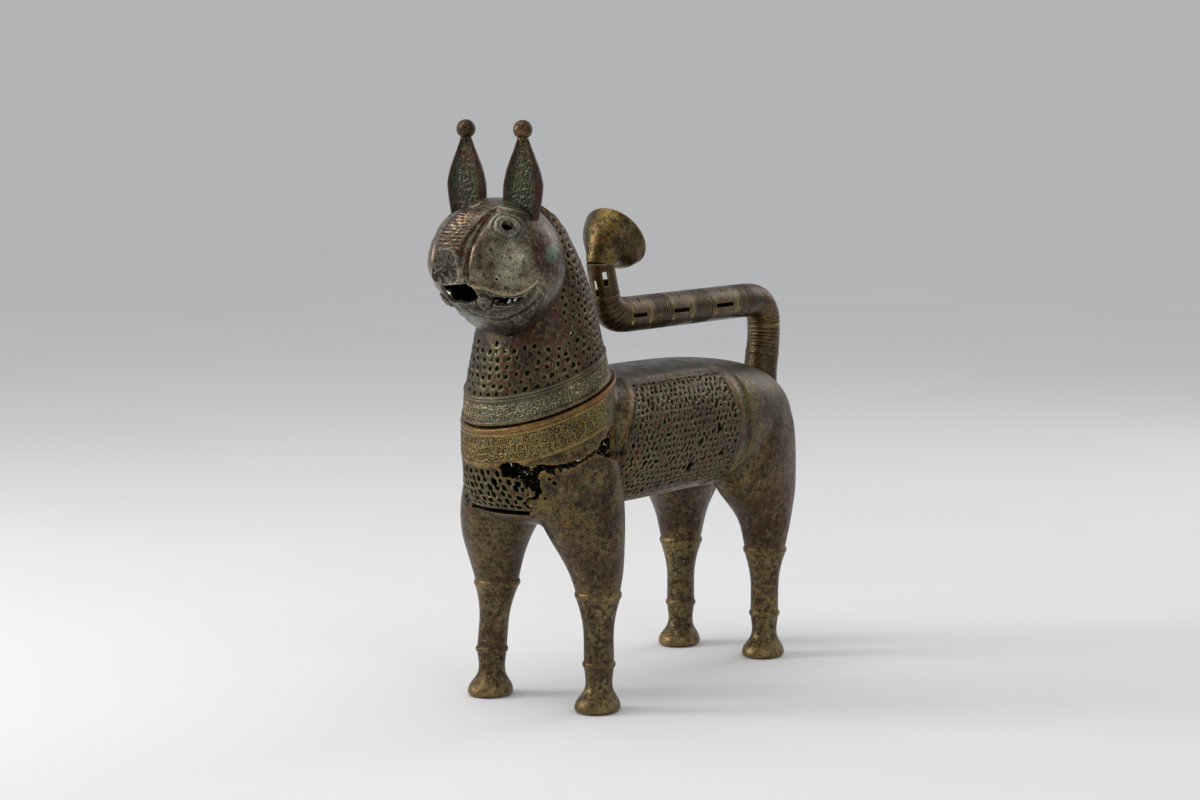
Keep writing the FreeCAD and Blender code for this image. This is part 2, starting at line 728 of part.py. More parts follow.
def bell_path():
    front = TAIL_FRONT_Y - BEND_REACH - STEM_REACH
    base = TAIL_ARM_HEIGHT + BEND_RISE + STEM_RISE
    flare = BELL_R - STEM_R
    return [
        (front, base, 0, STEM_R + STEM_LIP),
        (front + 0.085 * BELL_REACH, base + 0.29 * BELL_RISE, -30, STEM_R + 0.06 * flare),
        (front + 0.27 * BELL_REACH, base + 0.51 * BELL_RISE, -50, STEM_R + 0.38 * flare),
        (front + 0.53 * BELL_REACH, base + 0.705 * BELL_RISE, -57, STEM_R + 0.74 * flare),
        (front + 0.79 * BELL_REACH, base + 0.87 * BELL_RISE, -57, STEM_R + 0.94 * flare),
        (front + BELL_REACH, base + BELL_RISE, -57, BELL_R),
    ]


def tube(path, inset):
    return skin([axis_ring(y, z, lean, radius - inset, TAIL_SIDES) for y, z, lean, radius in path])


def hollow_tube(path, bore):
    return tube(path, 0.0).cut(tube(bore, TAIL_WALL))


def arm_slots():
    cuts = []
    height = TAIL_ARM_HEIGHT
    reach = 2 * TAIL_R
    for start, end in ((0.302, 0.438), (0.607, 0.722), (0.888, 0.982)):
        rear, front = along_arm(start), along_arm(end)
        length = rear - front
        cuts.append(Part.makeBox(2 * reach, length, TAIL_SLOT_TALL, point(-reach, front, height - TAIL_SLOT_TALL / 2)))
        for share in (0.2, 0.8):
            corner = point(-TAIL_CUT_WIDE / 2, front + length * share - TAIL_CUT_LONG / 2, height)
            cuts.append(Part.makeBox(TAIL_CUT_WIDE, TAIL_CUT_LONG, reach, corner))
    return cuts


def stem_slots():
    base = TAIL_ARM_HEIGHT + BEND_RISE + (STEM_RISE - STEM_SLOT_TALL) / 2.4
    wide = STEM_SLOT_WIDE
    reach = 2 * STEM_R
    front = TAIL_FRONT_Y - BEND_REACH - 0.62 * STEM_REACH
    across = Part.makeBox(2 * reach, wide, STEM_SLOT_TALL, point(-reach, front - wide / 2, base))
    ahead = Part.makeBox(wide, 2 * reach, STEM_SLOT_TALL, point(-wide / 2, front - reach, base))
    return [across, ahead]


def build_body(parts):
    chest_top = SEAM_HEIGHT + CHEST_HALF_DEPTH
    outer = barrel(0.0).fuse(chest(0.0, chest_top))
    inner = barrel(WALL).fuse(chest(WALL, chest_top + WALL))
    wall = outer.cut(inner).cut(above_seam(-COLLAR_THICK)).cut(losses())
    breast = chest_window()
    flanks = {"left": flank_window(1), "right": flank_window(-1)}
    lattice = wall.common(breast).cut(chest_holes())
    held = sorted(lattice.Solids, key=lambda piece: piece.Volume)
    frame = wall.cut([breast, flanks["left"], flanks["right"]])
    parts["body_shell"] = frame.fuse(held[:-1]) if len(held) > 1 else frame
    parts["chest_openwork"] = held[-1]
    parts["left_flank_openwork"] = wall.common(flanks["left"]).cut(flank_holes(1))
    parts["right_flank_openwork"] = wall.common(flanks["right"]).cut(flank_holes(-1))
    for name, side, lean in (("left", 1, LEFT_LEAN), ("right", -1, RIGHT_LEAN)):
        parts[name + "_front_leg"] = leg(side, FRONT_LEG_X, -LEG_Y, lean, front_thigh(), outer)
        parts[name + "_rear_leg"] = leg(side, REAR_LEG_X, LEG_Y, 0.0, rear_thigh(), outer)
    parts["neck_collar"] = collar()
    return outer


def build_tail(parts, outer):
    parts["tail_root"] = hollow_tube(tail_root_path(True), tail_root_path(False)).cut(outer)
    parts["tail_arm"] = hollow_tube(tail_arm_path(True), tail_arm_path(False)).cut(arm_slots()).cut(outer)
    parts["tail_stem"] = hollow_tube(stem_path(), stem_path()).cut(stem_slots())
    parts["tail_bell"] = hollow_tube(bell_path(), bell_path())


def build_head(parts):
    ball = head_ball(0.0)
    dome_inside = neck(WALL)
    band = neck(0.0, NECK_BAND_RISE).cut(dome_inside)
    parts["neck_band"] = band.common(seam_slab(GAP, NECK_BAND))
    lattice = neck(0.0).cut(dome_inside).common(above_seam(NECK_BAND)).cut(ball)
    parts["neck_openwork"] = lattice.cut(neck_holes())
    reach = 1.5 * HEAD_R
    cuts = [head_prism(0, MOUTH_LIFT, blunt_slot(MOUTH_WIDE, MOUTH_TALL), HEAD_R / 2, reach)]
    cuts.append(head_prism(0, CROWN_LIFT, disc(CROWN_HOLE_R, 8), HEAD_R / 2, reach))
    for side in (1, -1):
        cuts.append(head_prism(side * EYE_TURN, EYE_LIFT, disc(EYE_HOLE_R, 12), HEAD_R / 2, reach))
        slot = blunt_slot(CHEEK_SLOT_WIDE, CHEEK_SLOT_TALL)
        cuts.append(head_prism(side * CHEEK_SLOT_TURN, FANG_LIFT, slot, HEAD_R / 2, reach))
    parts["head_shell"] = ball.cut(head_ball(WALL)).cut(dome_inside).cut(cuts)
    parts["nose_ridge"] = nose(ball)
    parts["nose_plate"] = muzzle(ball).cut(parts["nose_ridge"]).cut(cuts[0])
    boss = head_prism(0, CROWN_LIFT, disc(CROWN_BOSS_R, 10), HEAD_R - STUD_ROOT, HEAD_R + CROWN_BOSS_RISE)
    parts["crown_boss"] = boss.cut(ball).cut(cuts[1]).cut(parts["nose_ridge"])
    for name, side in (("left", 1), ("right", -1)):
        rim = head_prism(side * EYE_TURN, EYE_LIFT, disc(EYE_RIM_R, 12), HEAD_R - STUD_ROOT, HEAD_R + EYE_RIM_RISE)
        hole = head_prism(side * EYE_TURN, EYE_LIFT, disc(EYE_HOLE_R, 12), HEAD_R / 2, reach)
        parts[name + "_eye_rim"] = rim.cut(ball).cut(hole)
        stud = head_prism(side * FANG_TURN, FANG_LIFT, disc(FANG_R, 10), HEAD_R - 1.2 * STUD_ROOT, HEAD_R + FANG_RISE)
        parts[name + "_fang"] = stud.cut(ball)
        parts[name + "_ear"] = ear(side, ball)
        parts[name + "_ear_knob"] = knob(side)


# The finished part stands on z = 0 with its box centred on the origin
def centre_on_floor(parts):
    box = Part.makeCompound(list(parts.values())).BoundBox
    shift = point(-(box.XMin + box.XMax) / 2, -(box.YMin + box.YMax) / 2, -box.ZMin)
    for shape in parts.values():
        shape.translate(shift)
    return shift


def report(parts, shift):
    print("shift", [round(v, 3) for v in shift])
    for name, shape in parts.items():
        box = shape.BoundBox
        ends = [round(v, 1) for v in (box.XMin, box.XMax, box.YMin, box.YMax, box.ZMin, box.ZMax)]
        print(name, len(shape.Solids), "valid" if shape.isValid() else "BROKEN", round(shape.Volume), ends)


made = {}
build_tail(made, build_body(made))
build_head(made)
report(made, centre_on_floor(made))
os.makedirs("parts", exist_ok=True)
for name, shape in made.items():
    shape.exportStep("parts/" + name + ".step")
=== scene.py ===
import math
import bpy
import numpy as np
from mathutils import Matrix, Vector


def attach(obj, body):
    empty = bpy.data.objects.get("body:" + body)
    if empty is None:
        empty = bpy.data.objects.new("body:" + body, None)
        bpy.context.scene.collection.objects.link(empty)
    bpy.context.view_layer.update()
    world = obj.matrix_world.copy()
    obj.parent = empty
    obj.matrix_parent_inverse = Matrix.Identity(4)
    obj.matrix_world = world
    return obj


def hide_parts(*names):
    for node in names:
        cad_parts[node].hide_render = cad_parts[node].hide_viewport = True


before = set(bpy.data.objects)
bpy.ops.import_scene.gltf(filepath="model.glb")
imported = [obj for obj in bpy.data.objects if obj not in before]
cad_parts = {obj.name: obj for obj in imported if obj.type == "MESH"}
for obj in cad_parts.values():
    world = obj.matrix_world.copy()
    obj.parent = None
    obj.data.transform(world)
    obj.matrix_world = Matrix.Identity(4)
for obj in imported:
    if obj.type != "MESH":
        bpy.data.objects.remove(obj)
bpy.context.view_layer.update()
print("frame loaded", len(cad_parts), "nodes")

# Everything below is in millimetres from the floor midway between the four feet, the lion facing -Y
datum = {"x": -1.896, "y": 14.828}
# The head sits on a tilted cut through the chest
seam = {"height": 187.0, "pitch": 19.7, "roll": 5.6}
# Its outline seen from above, the cut rim's place below the seam, and how far the engraved band reaches down
chest = {"y": -104.0, "halfWidth": 47.0, "halfDepth": 43.5, "girthRadius": 45.0, "rim": -3.0, "band": 18.0}
farOff = 99.0


def toFrame(points):
    moved = np.array(points, float).reshape(-1, 3) + (datum["x"], datum["y"], 0.0)
    return moved * 0.001


def toMillimetres(points):
    return np.array(points, float).reshape(-1, 3) * 1000 - (datum["x"], datum["y"], 0.0)


def select(*pieces):
    if bpy.context.object and bpy.context.object.mode == "EDIT":
        bpy.ops.object.mode_set(mode="OBJECT")
    bpy.ops.object.select_all(action="DESELECT")
    for piece in pieces:
        piece.select_set(True)
    bpy.context.view_layer.objects.active = pieces[0] if pieces else None


def modify(piece, kind, **settings):
    select(piece)
    modifier = piece.modifiers.new(kind.title(), kind)
    for key, value in settings.items():
        setattr(modifier, key, value)
    bpy.ops.object.modifier_apply(modifier=modifier.name)
    return piece


def joinInto(name, pieces):
    select(*pieces)
    bpy.ops.object.join()
    joined = bpy.context.object
    joined.name = name
    return joined


def readPoints(piece):
    points = np.empty(len(piece.data.vertices) * 3)
    piece.data.vertices.foreach_get("co", points)
    return points.reshape(-1, 3)


def writePoints(piece, points):
    piece.data.vertices.foreach_set("co", np.asarray(points, float).ravel())
    piece.data.update()


def smoothStep(low, high, values):
    t = np.clip((np.asarray(values, float) - low) / (high - low), 0, 1)
    return t * t * (3 - 2 * t)


def near(values, middle, width):
    return np.exp(-((values - middle) / width) ** 2)


def remove(piece):
    bpy.data.objects.remove(piece, do_unlink=True)


def subdivide(piece, levels):
    return modify(piece, "SUBSURF", levels=levels, render_levels=levels)


# A new piece made by one of Blender's own mesh operators
def newMesh(name, operator, **settings):
    select()
    operator(**settings)
    piece = bpy.context.object
    piece.name = name
    return piece


def newDisc(name, corners):
    return newMesh(name, bpy.ops.mesh.primitive_circle_add, vertices=corners, radius=1, fill_type="NGON")


# A flat grid, and where each of its points lies from 0 to 1 both ways
def newGrid(name, columns, rows):
    settings = {"x_subdivisions": columns, "y_subdivisions": rows, "size": 1}
    piece = newMesh(name, bpy.ops.mesh.primitive_grid_add, **settings)
    flat = readPoints(piece) + 0.5
    return piece, flat[:, 0], flat[:, 1]


def startEditing():
    bpy.ops.object.mode_set(mode="EDIT")
    bpy.ops.mesh.select_all(action="SELECT")


def endEditing(inTriangles=False):
    bpy.ops.mesh.select_all(action="SELECT")
    if inTriangles:
        bpy.ops.mesh.quads_convert_to_tris()
    bpy.ops.mesh.normals_make_consistent(inside=False)
    bpy.ops.object.mode_set(mode="OBJECT")


# A filled ring is extruded from station to station, each one (x, y, z, half width, half depth)
def growRings(name, sides, stations, upright=False, power=2.0, levels=2):
    piece = newDisc(name, sides)
    ring = readPoints(piece)
    x = np.sign(ring[:, 0]) * np.abs(ring[:, 0]) ** (2 / power)
    y = np.sign(ring[:, 1]) * np.abs(ring[:, 1]) ** (2 / power)
    ring = np.stack([x, x * 0, y] if upright else [x, y, x * 0], axis=1)
    # a ring shrinks when it is subdivided, so it starts that much wider
    fit = 0.003 / (2 + math.cos(2 * math.pi / sides))
    places = [Vector(toFrame([s[:3]])[0]) for s in stations]
    sizes = [(s[3] * fit, s[4] * fit) for s in stations]
    across, along = sizes[0]
    scale = (across, 1, along) if upright else (across, along, 1)
    writePoints(piece, ring * scale + np.array(places[0]))
    startEditing()
    for i in range(1, len(stations)):
        step = places[i] - places[i - 1]
        bpy.ops.mesh.extrude_region_move(TRANSFORM_OT_translate={"value": step})
        ratioA = sizes[i][0] / sizes[i - 1][0]
        ratioB = sizes[i][1] / sizes[i - 1][1]
        ratio = (ratioA, 1, ratioB) if upright else (ratioA, ratioB, 1)
        bpy.ops.transform.resize(value=ratio, center_override=places[i])
    endEditing()
    return subdivide(piece, levels)


# A grid wrapped round by a function of (u, v) that gives millimetres, its edges welded where they meet
def wrapGrid(name, columns, rows, mapping):
    piece, u, v = newGrid(name, columns, rows)
    writePoints(piece, toFrame(mapping(u, v)))
    startEditing()
    bpy.ops.mesh.remove_doubles(threshold=0.00001)
    endEditing()
    return piece


# A block on a closed outline, carried along one straight way
def prism(name, outline, way):
    piece = newDisc(name, len(outline))
    writePoints(piece, toFrame(outline))
    startEditing()
    bpy.ops.mesh.extrude_region_move(TRANSFORM_OT_translate={"value": Vector(way) * 0.001})
    endEditing(inTriangles=True)
    return piece


# A cutter on a ring of points; spread says where the far end's points go, in metres
def fanCutter(name, ring, spread):
    cutter = newDisc(name, len(ring))
    writePoints(cutter, toFrame(ring))
    startEditing()
    bpy.ops.mesh.extrude_region_move(TRANSFORM_OT_translate={"value": (0, 0, 0)})
    bpy.ops.object.mode_set(mode="OBJECT")
    points = readPoints(cutter)
    far = np.array([v.select for v in cutter.data.vertices])
    points[far] = spread(points[far])
    writePoints(cutter, points)
    startEditing()
    endEditing(inTriangles=True)
    return cutter


# The cut's own faces keep the cutter's material
def cutAway(piece, cutter):
    if not piece.data.materials:
        piece.data.materials.append(None)
    modify(
        piece, "BOOLEAN", operation="DIFFERENCE", solver="MANIFOLD", object=cutter, material_mode="TRANSFER",
    )
    remove(cutter)


# Height of the cut's plane, or of one parallel to it, at a place seen from above
def seamHeight(x, y, offset=0.0):
    pitch = math.radians(seam["pitch"])
    roll = math.radians(seam["roll"])
    rise = (np.asarray(y) - chest["y"]) * math.tan(pitch)
    rise = rise + np.asarray(x) * math.tan(roll) / math.cos(pitch)
    return seam["height"] + rise + offset / (math.cos(pitch) * math.cos(roll))


# A place on the chest's outline, or on one with a share of its size that stands off by the outset
def aroundChest(angle, share=1.0, outset=0.0):
    x = (chest["halfWidth"] * share + outset) * np.sin(angle)
    y = chest["y"] - (chest["halfDepth"] * share + outset) * np.cos(angle)
    return x, y


# Materials
def hexColour(text):
    channels = [int(text[i:i + 2], 16) / 255 for i in (1, 3, 5)]
    return [c / 12.92 if c <= 0.04045 else ((c + 0.055) / 1.055) ** 2.4 for c in channels] + [1.0]


def addNode(tree, kind, values=None, links=None, **settings):
    node = tree.nodes.new("ShaderNode" + kind)
    for key, value in settings.items():
        setattr(node, key, value)
    for socket, value in (values or {}).items():
        node.inputs[socket].default_value = value
    for socket, source in (links or {}).items():
        tree.links.new(source, node.inputs[socket])
    return node


def newTree(name):
    material = bpy.data.materials.new(name)
    material.use_nodes = True
    tree = material.node_tree
    tree.nodes.clear()
    return material, tree


# A pattern's scale from its grain in millimetres
def perMetre(size):
    return 1000.0 / size


def sumOf(tree, operation, first, second=None, third=None, clamp=False):
    node = addNode(tree, "Math", operation=operation, use_clamp=clamp)
    for i, value in enumerate((first, second, third)):
        if isinstance(value, (int, float)):
            node.inputs[i].default_value = value
        elif value is not None:
            tree.links.new(value, node.inputs[i])
    return node.outputs[0]


def band(tree, source, low, high, floor=0.0, top=1.0):
    values = {"From Min": low, "From Max": high, "To Min": floor, "To Max": top}
    return addNode(tree, "MapRange", values, {"Value": source}).outputs["Result"]


def blend(tree, amount, a, b, kind="MIX"):
    mix = addNode(tree, "Mix", data_type="RGBA", blend_type=kind)
    for socket, value in ((0, amount), (6, a), (7, b)):
        if isinstance(value, (float, int, list)):
            mix.inputs[socket].default_value = value
        else:
            tree.links.new(value, mix.inputs[socket])
    return mix.outputs[2]


def setSurface(tree, values, links):
    shader = addNode(tree, "BsdfPrincipled", values, links)
    addNode(tree, "OutputMaterial", {}, {"Surface": shader.outputs[0]})


# Old cast bronze: brown oxide with olive and red patches, a thin pale crust, green salts in the hollows
# and bare metal on the edges; the hollows are also darkened with painted shade
def castBronze(name, tones=None, shares=None, rough=(0.27, 0.48), metallic=0.65, bump=0.35):
    tone = {
        "brown": "#43301B", "olive": "#514324", "red": "#542516", "dark": "#120C07", "bare": "#A37E44",
        "green": "#4A5F40", "crust": "#8A7B54",
    }
    share = {"olive": 0.5, "red": 0.35, "crust": 0.32, "green": 0.2, "dark": 0.45, "bare": 0.7}
    tone.update(tones or {})
    share.update(shares or {})
    material, tree = newTree(name)
    place = addNode(tree, "TexCoord").outputs["Object"]

    def noise(grain, detail, roughness, distortion=0.0):
        values = {
            "Scale": perMetre(grain), "Detail": detail, "Roughness": roughness, "Distortion": distortion,
        }
        return addNode(tree, "TexNoise", values, {"Vector": place}).outputs["Fac"]

    def cover(source, amount, strength=1.0):
        edge = 0.70 - 0.4 * amount
        return band(tree, source, edge - 0.03, edge + 0.05, 0.0, strength)

    broad = noise(28, 8, 0.66, 0.4)
    patch = noise(11, 8, 0.70, 0.8)
    speck = noise(3.0, 6, 0.75)
    fine = noise(0.9, 4, 0.6)
    crust = noise(5.5, 7, 0.78, 1.2)
    colour = blend(tree, cover(broad, share["olive"]), hexColour(tone["brown"]), hexColour(tone["olive"]))
    colour = blend(tree, cover(patch, share["red"], 0.9), colour, hexColour(tone["red"]))
    painted = addNode(tree, "Attribute", attribute_name="tint").outputs
    shown = sumOf(tree, "MULTIPLY", painted["Alpha"], band(tree, patch, 0.36, 0.50, 0.55, 1.0))
    colour = blend(tree, shown, colour, painted["Color"])
    colour = blend(tree, cover(crust, share["crust"], 0.55), colour, hexColour(tone["crust"]))
    colour = blend(tree, cover(speck, share["dark"], 0.85), colour, hexColour(tone["dark"]))
    relief = addNode(tree, "Attribute", attribute_name="relief").outputs["Fac"]
    point = addNode(tree, "NewGeometry").outputs["Pointiness"]
    hollow = sumOf(tree, "MAXIMUM", band(tree, point, 0.494, 0.44), band(tree, relief, -0.05, -0.4))
    worn = sumOf(tree, "MAXIMUM", band(tree, point, 0.505, 0.56), band(tree, relief, 0.35, 0.75))
    worn = sumOf(tree, "MULTIPLY", worn, band(tree, speck, 0.40, 0.55, 0.15, share["bare"]))
    colour = blend(tree, worn, colour, hexColour(tone["bare"]))
    # painted shade: hollows and creases are darkened toward the dark tone
    colour = blend(tree, sumOf(tree, "MULTIPLY", hollow, 0.75), colour, hexColour(tone["dark"]))
    salts = cover(crust, share["green"] + 0.35)
    salts = sumOf(tree, "MULTIPLY", salts, sumOf(tree, "MULTIPLY_ADD", hollow, 0.8, 0.06), clamp=True)
    salts = sumOf(tree, "MAXIMUM", salts, cover(crust, share["green"] * 0.5 - 0.05, 0.8))
    colour = blend(tree, salts, colour, hexColour(tone["green"]))
    colour = blend(tree, 1.0, colour, band(tree, fine, 0.32, 0.68, 0.55, 1.5), "MULTIPLY")
    colour = blend(tree, 1.0, colour, band(tree, broad, 0.35, 0.65, 0.75, 1.3), "MULTIPLY")
    pits = addNode(tree, "TexVoronoi", {"Scale": perMetre(1.8)}, {"Vector": place}).outputs["Distance"]
    height = sumOf(tree, "MULTIPLY_ADD", fine, 0.5, speck)
    height = sumOf(tree, "MULTIPLY_ADD", band(tree, pits, 0.0, 0.22), 0.3, height)
    gloss = band(tree, patch, 0.35, 0.65, rough[0], rough[1])
    settings = {"Strength": bump, "Distance": 0.0007}
    normal = addNode(tree, "Bump", settings, {"Height": height}).outputs["Normal"]
    setSurface(tree, {"Metallic": metallic}, {"Base Color": colour, "Roughness": gloss, "Normal": normal})
    return material


# One even tone with a streak in it: pale brass laid bare by the saw, or soot from the burnt incense
def plainTone(name, low, high, grain, metallic, roughness):
    material, tree = newTree(name)
    place = addNode(tree, "TexCoord").outputs["Object"]
    values = {"Scale": perMetre(grain), "Detail": 4}
    streak = addNode(tree, "TexNoise", values, {"Vector": place}).outputs["Fac"]
    colour = blend(tree, streak, hexColour(low), hexColour(high))
    values = {"Strength": 0.2, "Distance": 0.0003}
    normal = addNode(tree, "Bump", values, {"Height": streak}).outputs["Normal"]
    setSurface(tree, {"Metallic": metallic, "Roughness": roughness}, {"Base Color": colour, "Normal": normal})
    return material


silver = {"brown": "#5A4D3A", "olive": "#76715F", "red": "#512C19", "bare": "#C2BAA8", "crust": "#8A8570"}
finishes = {
    "body": castBronze(
        "castBronzeOlive", {"brown": "#4B3722", "olive": "#5B4B2B"}, shares={"olive": 0.6, "red": 0.3},
    ),
    "net": castBronze(
        "piercedBronzeRed", {"bare": "#8A774C", "olive": "#3B3019", "brown": "#302113", "crust": "#6C5F40"},
        {"red": 0.55, "green": 0.2, "bare": 0.7},
    ),
    "leg": castBronze(
        "castBronzeBrown", {"brown": "#513D25", "olive": "#625332"},
        {"olive": 0.55, "red": 0.3, "crust": 0.4},
    ),
    "band": castBronze(
        "chasedBronzeBand", {"olive": "#635A44", "brown": "#4E3622", "bare": "#AE9E78"},
        {"red": 0.45, "green": 0.5, "bare": 0.8},
    ),
    "gold": castBronze(
        "goldenChasedBand", {"olive": "#5C4A25", "brown": "#4C3A1E", "bare": "#94793F"},
        {"red": 0.15, "green": 0.12, "crust": 0.4, "dark": 0.35},
    ),
    "head": castBronze(
        "polishedGreyBronze", silver, {"red": 0.25, "green": 0.12, "crust": 0.4, "dark": 0.35}, (0.18, 0.38),
        0.8, 0.25,
    ),
    "ear": castBronze(
        "chasedDarkBronze",
        {"brown": "#24180E", "olive": "#282616", "bare": "#574B30", "crust": "#544C34", "green": "#2F4433"},
        {"green": 0.3, "red": 0.4},
    ),
    "tail": castBronze(
        "darkTailBronze", {"olive": "#44341A", "brown": "#34230F", "red": "#472212", "bare": "#8A6C3A"},
        {"red": 0.4}, (0.22, 0.40), 0.7,
    ),
    "bell": castBronze(
        "yellowBellBronze", {"olive": "#62501F", "brown": "#50401F"}, {"olive": 0.6, "green": 0.15},
        (0.20, 0.38), 0.7,
    ),
    "copper": castBronze(
        "redCopperRim", {"olive": "#5C4522", "brown": "#4F381C"}, {"olive": 0.5, "red": 0.3},
    ),
    "brass": plainTone("sawnPaleBrass", "#7A6C3A", "#C4B67E", 1.5, 0.3, 0.5),
    "soot": plainTone("sootedInside", "#070504", "#14100B", 4.0, 0.0, 0.85),
}


def lineWith(piece, name):
    piece.data.materials.clear()
    piece.data.materials.append(finishes[name])
    return piece


# Stations of the torso: place along the body, share of the width, rise of the belly, drop of the back
# Stations of the breast: height, share of the chest's width and of its depth, shift to the rear
torso = {
    "shoulderLine": [(81.9, 147.3), (71.3, 143.2), (61, 136), (54.4, 128.6), (49.9, 123.2)],
    "halfWidth": 48.0,
    "belly": 116.0,
    "back": 197.5,
    "wall": 2.6,
    "stations": [
        (-92, 0.94, 0.0, 0.0), (-60, 1.0, 0.0, 0.0), (-30, 1.0, 0.0, -0.5), (0, 0.99, 0.0, -1.0),
        (30, 0.99, 0.0, -0.5), (55, 0.99, 0.0, 0.0), (88, 0.98, 0.0, 3.5), (106, 0.92, 0.0, 7.5),
        (122, 0.80, 1.0, 14.0), (136, 0.62, 6.0, 25.0), (147, 0.42, 14.0, 37.0), (156, 0.17, 25.0, 47.0),
    ],
    "breast": [
        (110.5, 0.50, 0.45, 6.0), (115.5, 0.78, 0.75, 3.0), (125.5, 0.95, 0.94, 0.0), (143.5, 1.0, 1.0, 0.0),
        (165, 1.0, 1.0, 0.0), (190, 1.0, 1.0, 0.0), (217, 1.0, 1.0, 0.0),
    ],
    "skinGrain": 1.6,
    "haunchEdge": 1.5,
}
legs = {
    "y": 98.0, "frontX": 40.4, "rearX": 33.0, "knee": 70.0, "ankle": 28.0,
    "kneeR": 14.5, "ankleR": 9.8, "shankR": 9.0, "footR": 13.5,
    "leans": {"leftFront": 0.6, "rightFront": 4.4, "leftRear": 0.0, "rightRear": 0.0},
    # height, shift outward and to the rear, half width, half depth
    "frontThigh": [
        (64.0, 0.0, 0.0, 12.0, 12.0), (72.0, 0.0, -0.2, 13.4, 13.4), (78.0, -0.2, -0.8, 14.9, 14.9),
        (85.0, -0.5, -1.5, 16.6, 16.6), (97.0, -2.5, -4.0, 20.2, 20.2), (107.0, -5.5, -5.0, 23.5, 23.5),
        (118.0, -8.5, -5.0, 26.0, 26.0), (130.0, -10.4, -4.5, 27.0, 25.5), (145.0, -12.4, -2.5, 27.0, 21.0),
        (157.0, -14.4, -1.0, 24.0, 14.0), (163.0, -16.4, 0.0, 18.0, 7.0),
    ],
    "rearThigh": [
        (64.0, 0.0, 0.0, 12.0, 12.0), (72.0, 0.0, 0.0, 13.4, 13.4), (80.0, 0.0, 0.0, 15.0, 15.0),
        (88.0, 0.0, 0.0, 16.5, 17.0), (97.0, -1.0, -1.5, 18.5, 22.5), (108.0, -3.5, -3.5, 21.0, 32.5),
        (120.0, -5.5, -6.0, 22.5, 38.0), (140.0, -8.0, -6.5, 25.0, 40.5), (160.0, -9.5, -5.0, 23.5, 38.0),
        (176.0, -13.0, -5.0, 17.0, 32.0), (186.0, -17.0, -5.0, 9.0, 22.0),
    ],
}


def legPlaces():
    return {
        "leftFront": (1, legs["frontX"], -legs["y"], legs["frontThigh"]),
        "rightFront": (-1, legs["frontX"], -legs["y"], legs["frontThigh"]),
        "leftRear": (1, legs["rearX"], legs["y"], legs["rearThigh"]),
        "rightRear": (-1, legs["rearX"], legs["y"], legs["rearThigh"]),
    }


def legStations(name, levels):
    side, x, y, _ = legPlaces()[name]
    stations = []
    for z, out, back, wide, deep in levels:
        climb = min(max((z - legs["ankle"]) / (legs["knee"] - legs["ankle"]), 0), 1)
        stations.append((side * (x + out - legs["leans"][name] * climb), y + back, z, wide, deep))
    return stations


def torsoForms(inset, levels=3):
    barrel = []
    ends = {torso["stations"][0][0]: inset, torso["stations"][-1][0]: -inset}
    for y, share, rise, drop in torso["stations"]:
        low = torso["belly"] + rise + inset
        high = torso["back"] - drop - inset
        middle, half = (low + high) / 2, (high - low) / 2
        barrel.append((0, y + ends.get(y, 0), middle, torso["halfWidth"] * share - inset, half))
    breast = []
    # the hollow starts above the breast's floor and runs out through its top
    top = torso["breast"][-1][0]
    for z, wide, deep, rearward in torso["breast"]:
        lift = inset if z < 120 else (10 * inset / torso["wall"] if z == top else 0)
        halves = (chest["halfWidth"] * wide - inset, chest["halfDepth"] * deep - inset)
        breast.append((0, chest["y"] + rearward, z + lift, *halves))
    return [
        growRings("barrel", 20, barrel, upright=True, power=2.5, levels=levels),
        growRings("breast", 24, breast, levels=levels),
    ]


# Torso and thighs are cast in one, so their forms are fused into one smooth skin
def makeSkin():
    forms = torsoForms(0.0)
    for name, place in legPlaces().items():
        forms.append(growRings(name + "Thigh", 20, legStations(name, place[-1]), levels=3))
    skin = joinInto("bodyCasting", forms)
    modify(skin, "REMESH", mode="VOXEL", voxel_size=torso["skinGrain"] * 0.001, adaptivity=0.0)
    modify(skin, "SMOOTH", factor=0.5, iterations=5)
    points = toMillimetres(readPoints(skin))
    x, y, z = points.T
    # the haunch stands proud of the flank along a line that bends forward under the belly
    border = 56 - 20 * smoothStep(142, 118, z) - 26 * smoothStep(124, 114, z)
    raised = smoothStep(-1.2, 1.2, y - border) * (1 - smoothStep(64, 108, y))
    raised *= smoothStep(20, 34, np.abs(x)) * smoothStep(112, 118, z) * (1 - smoothStep(186, 196, z))
    points[:, 0] += np.sign(x) * raised * torso["haunchEdge"]
    writePoints(skin, toFrame(points))
    return skin


print("fusing the torso and thighs")
bodyCasting = makeSkin()
print("skin", len(bodyCasting.data.polygons))

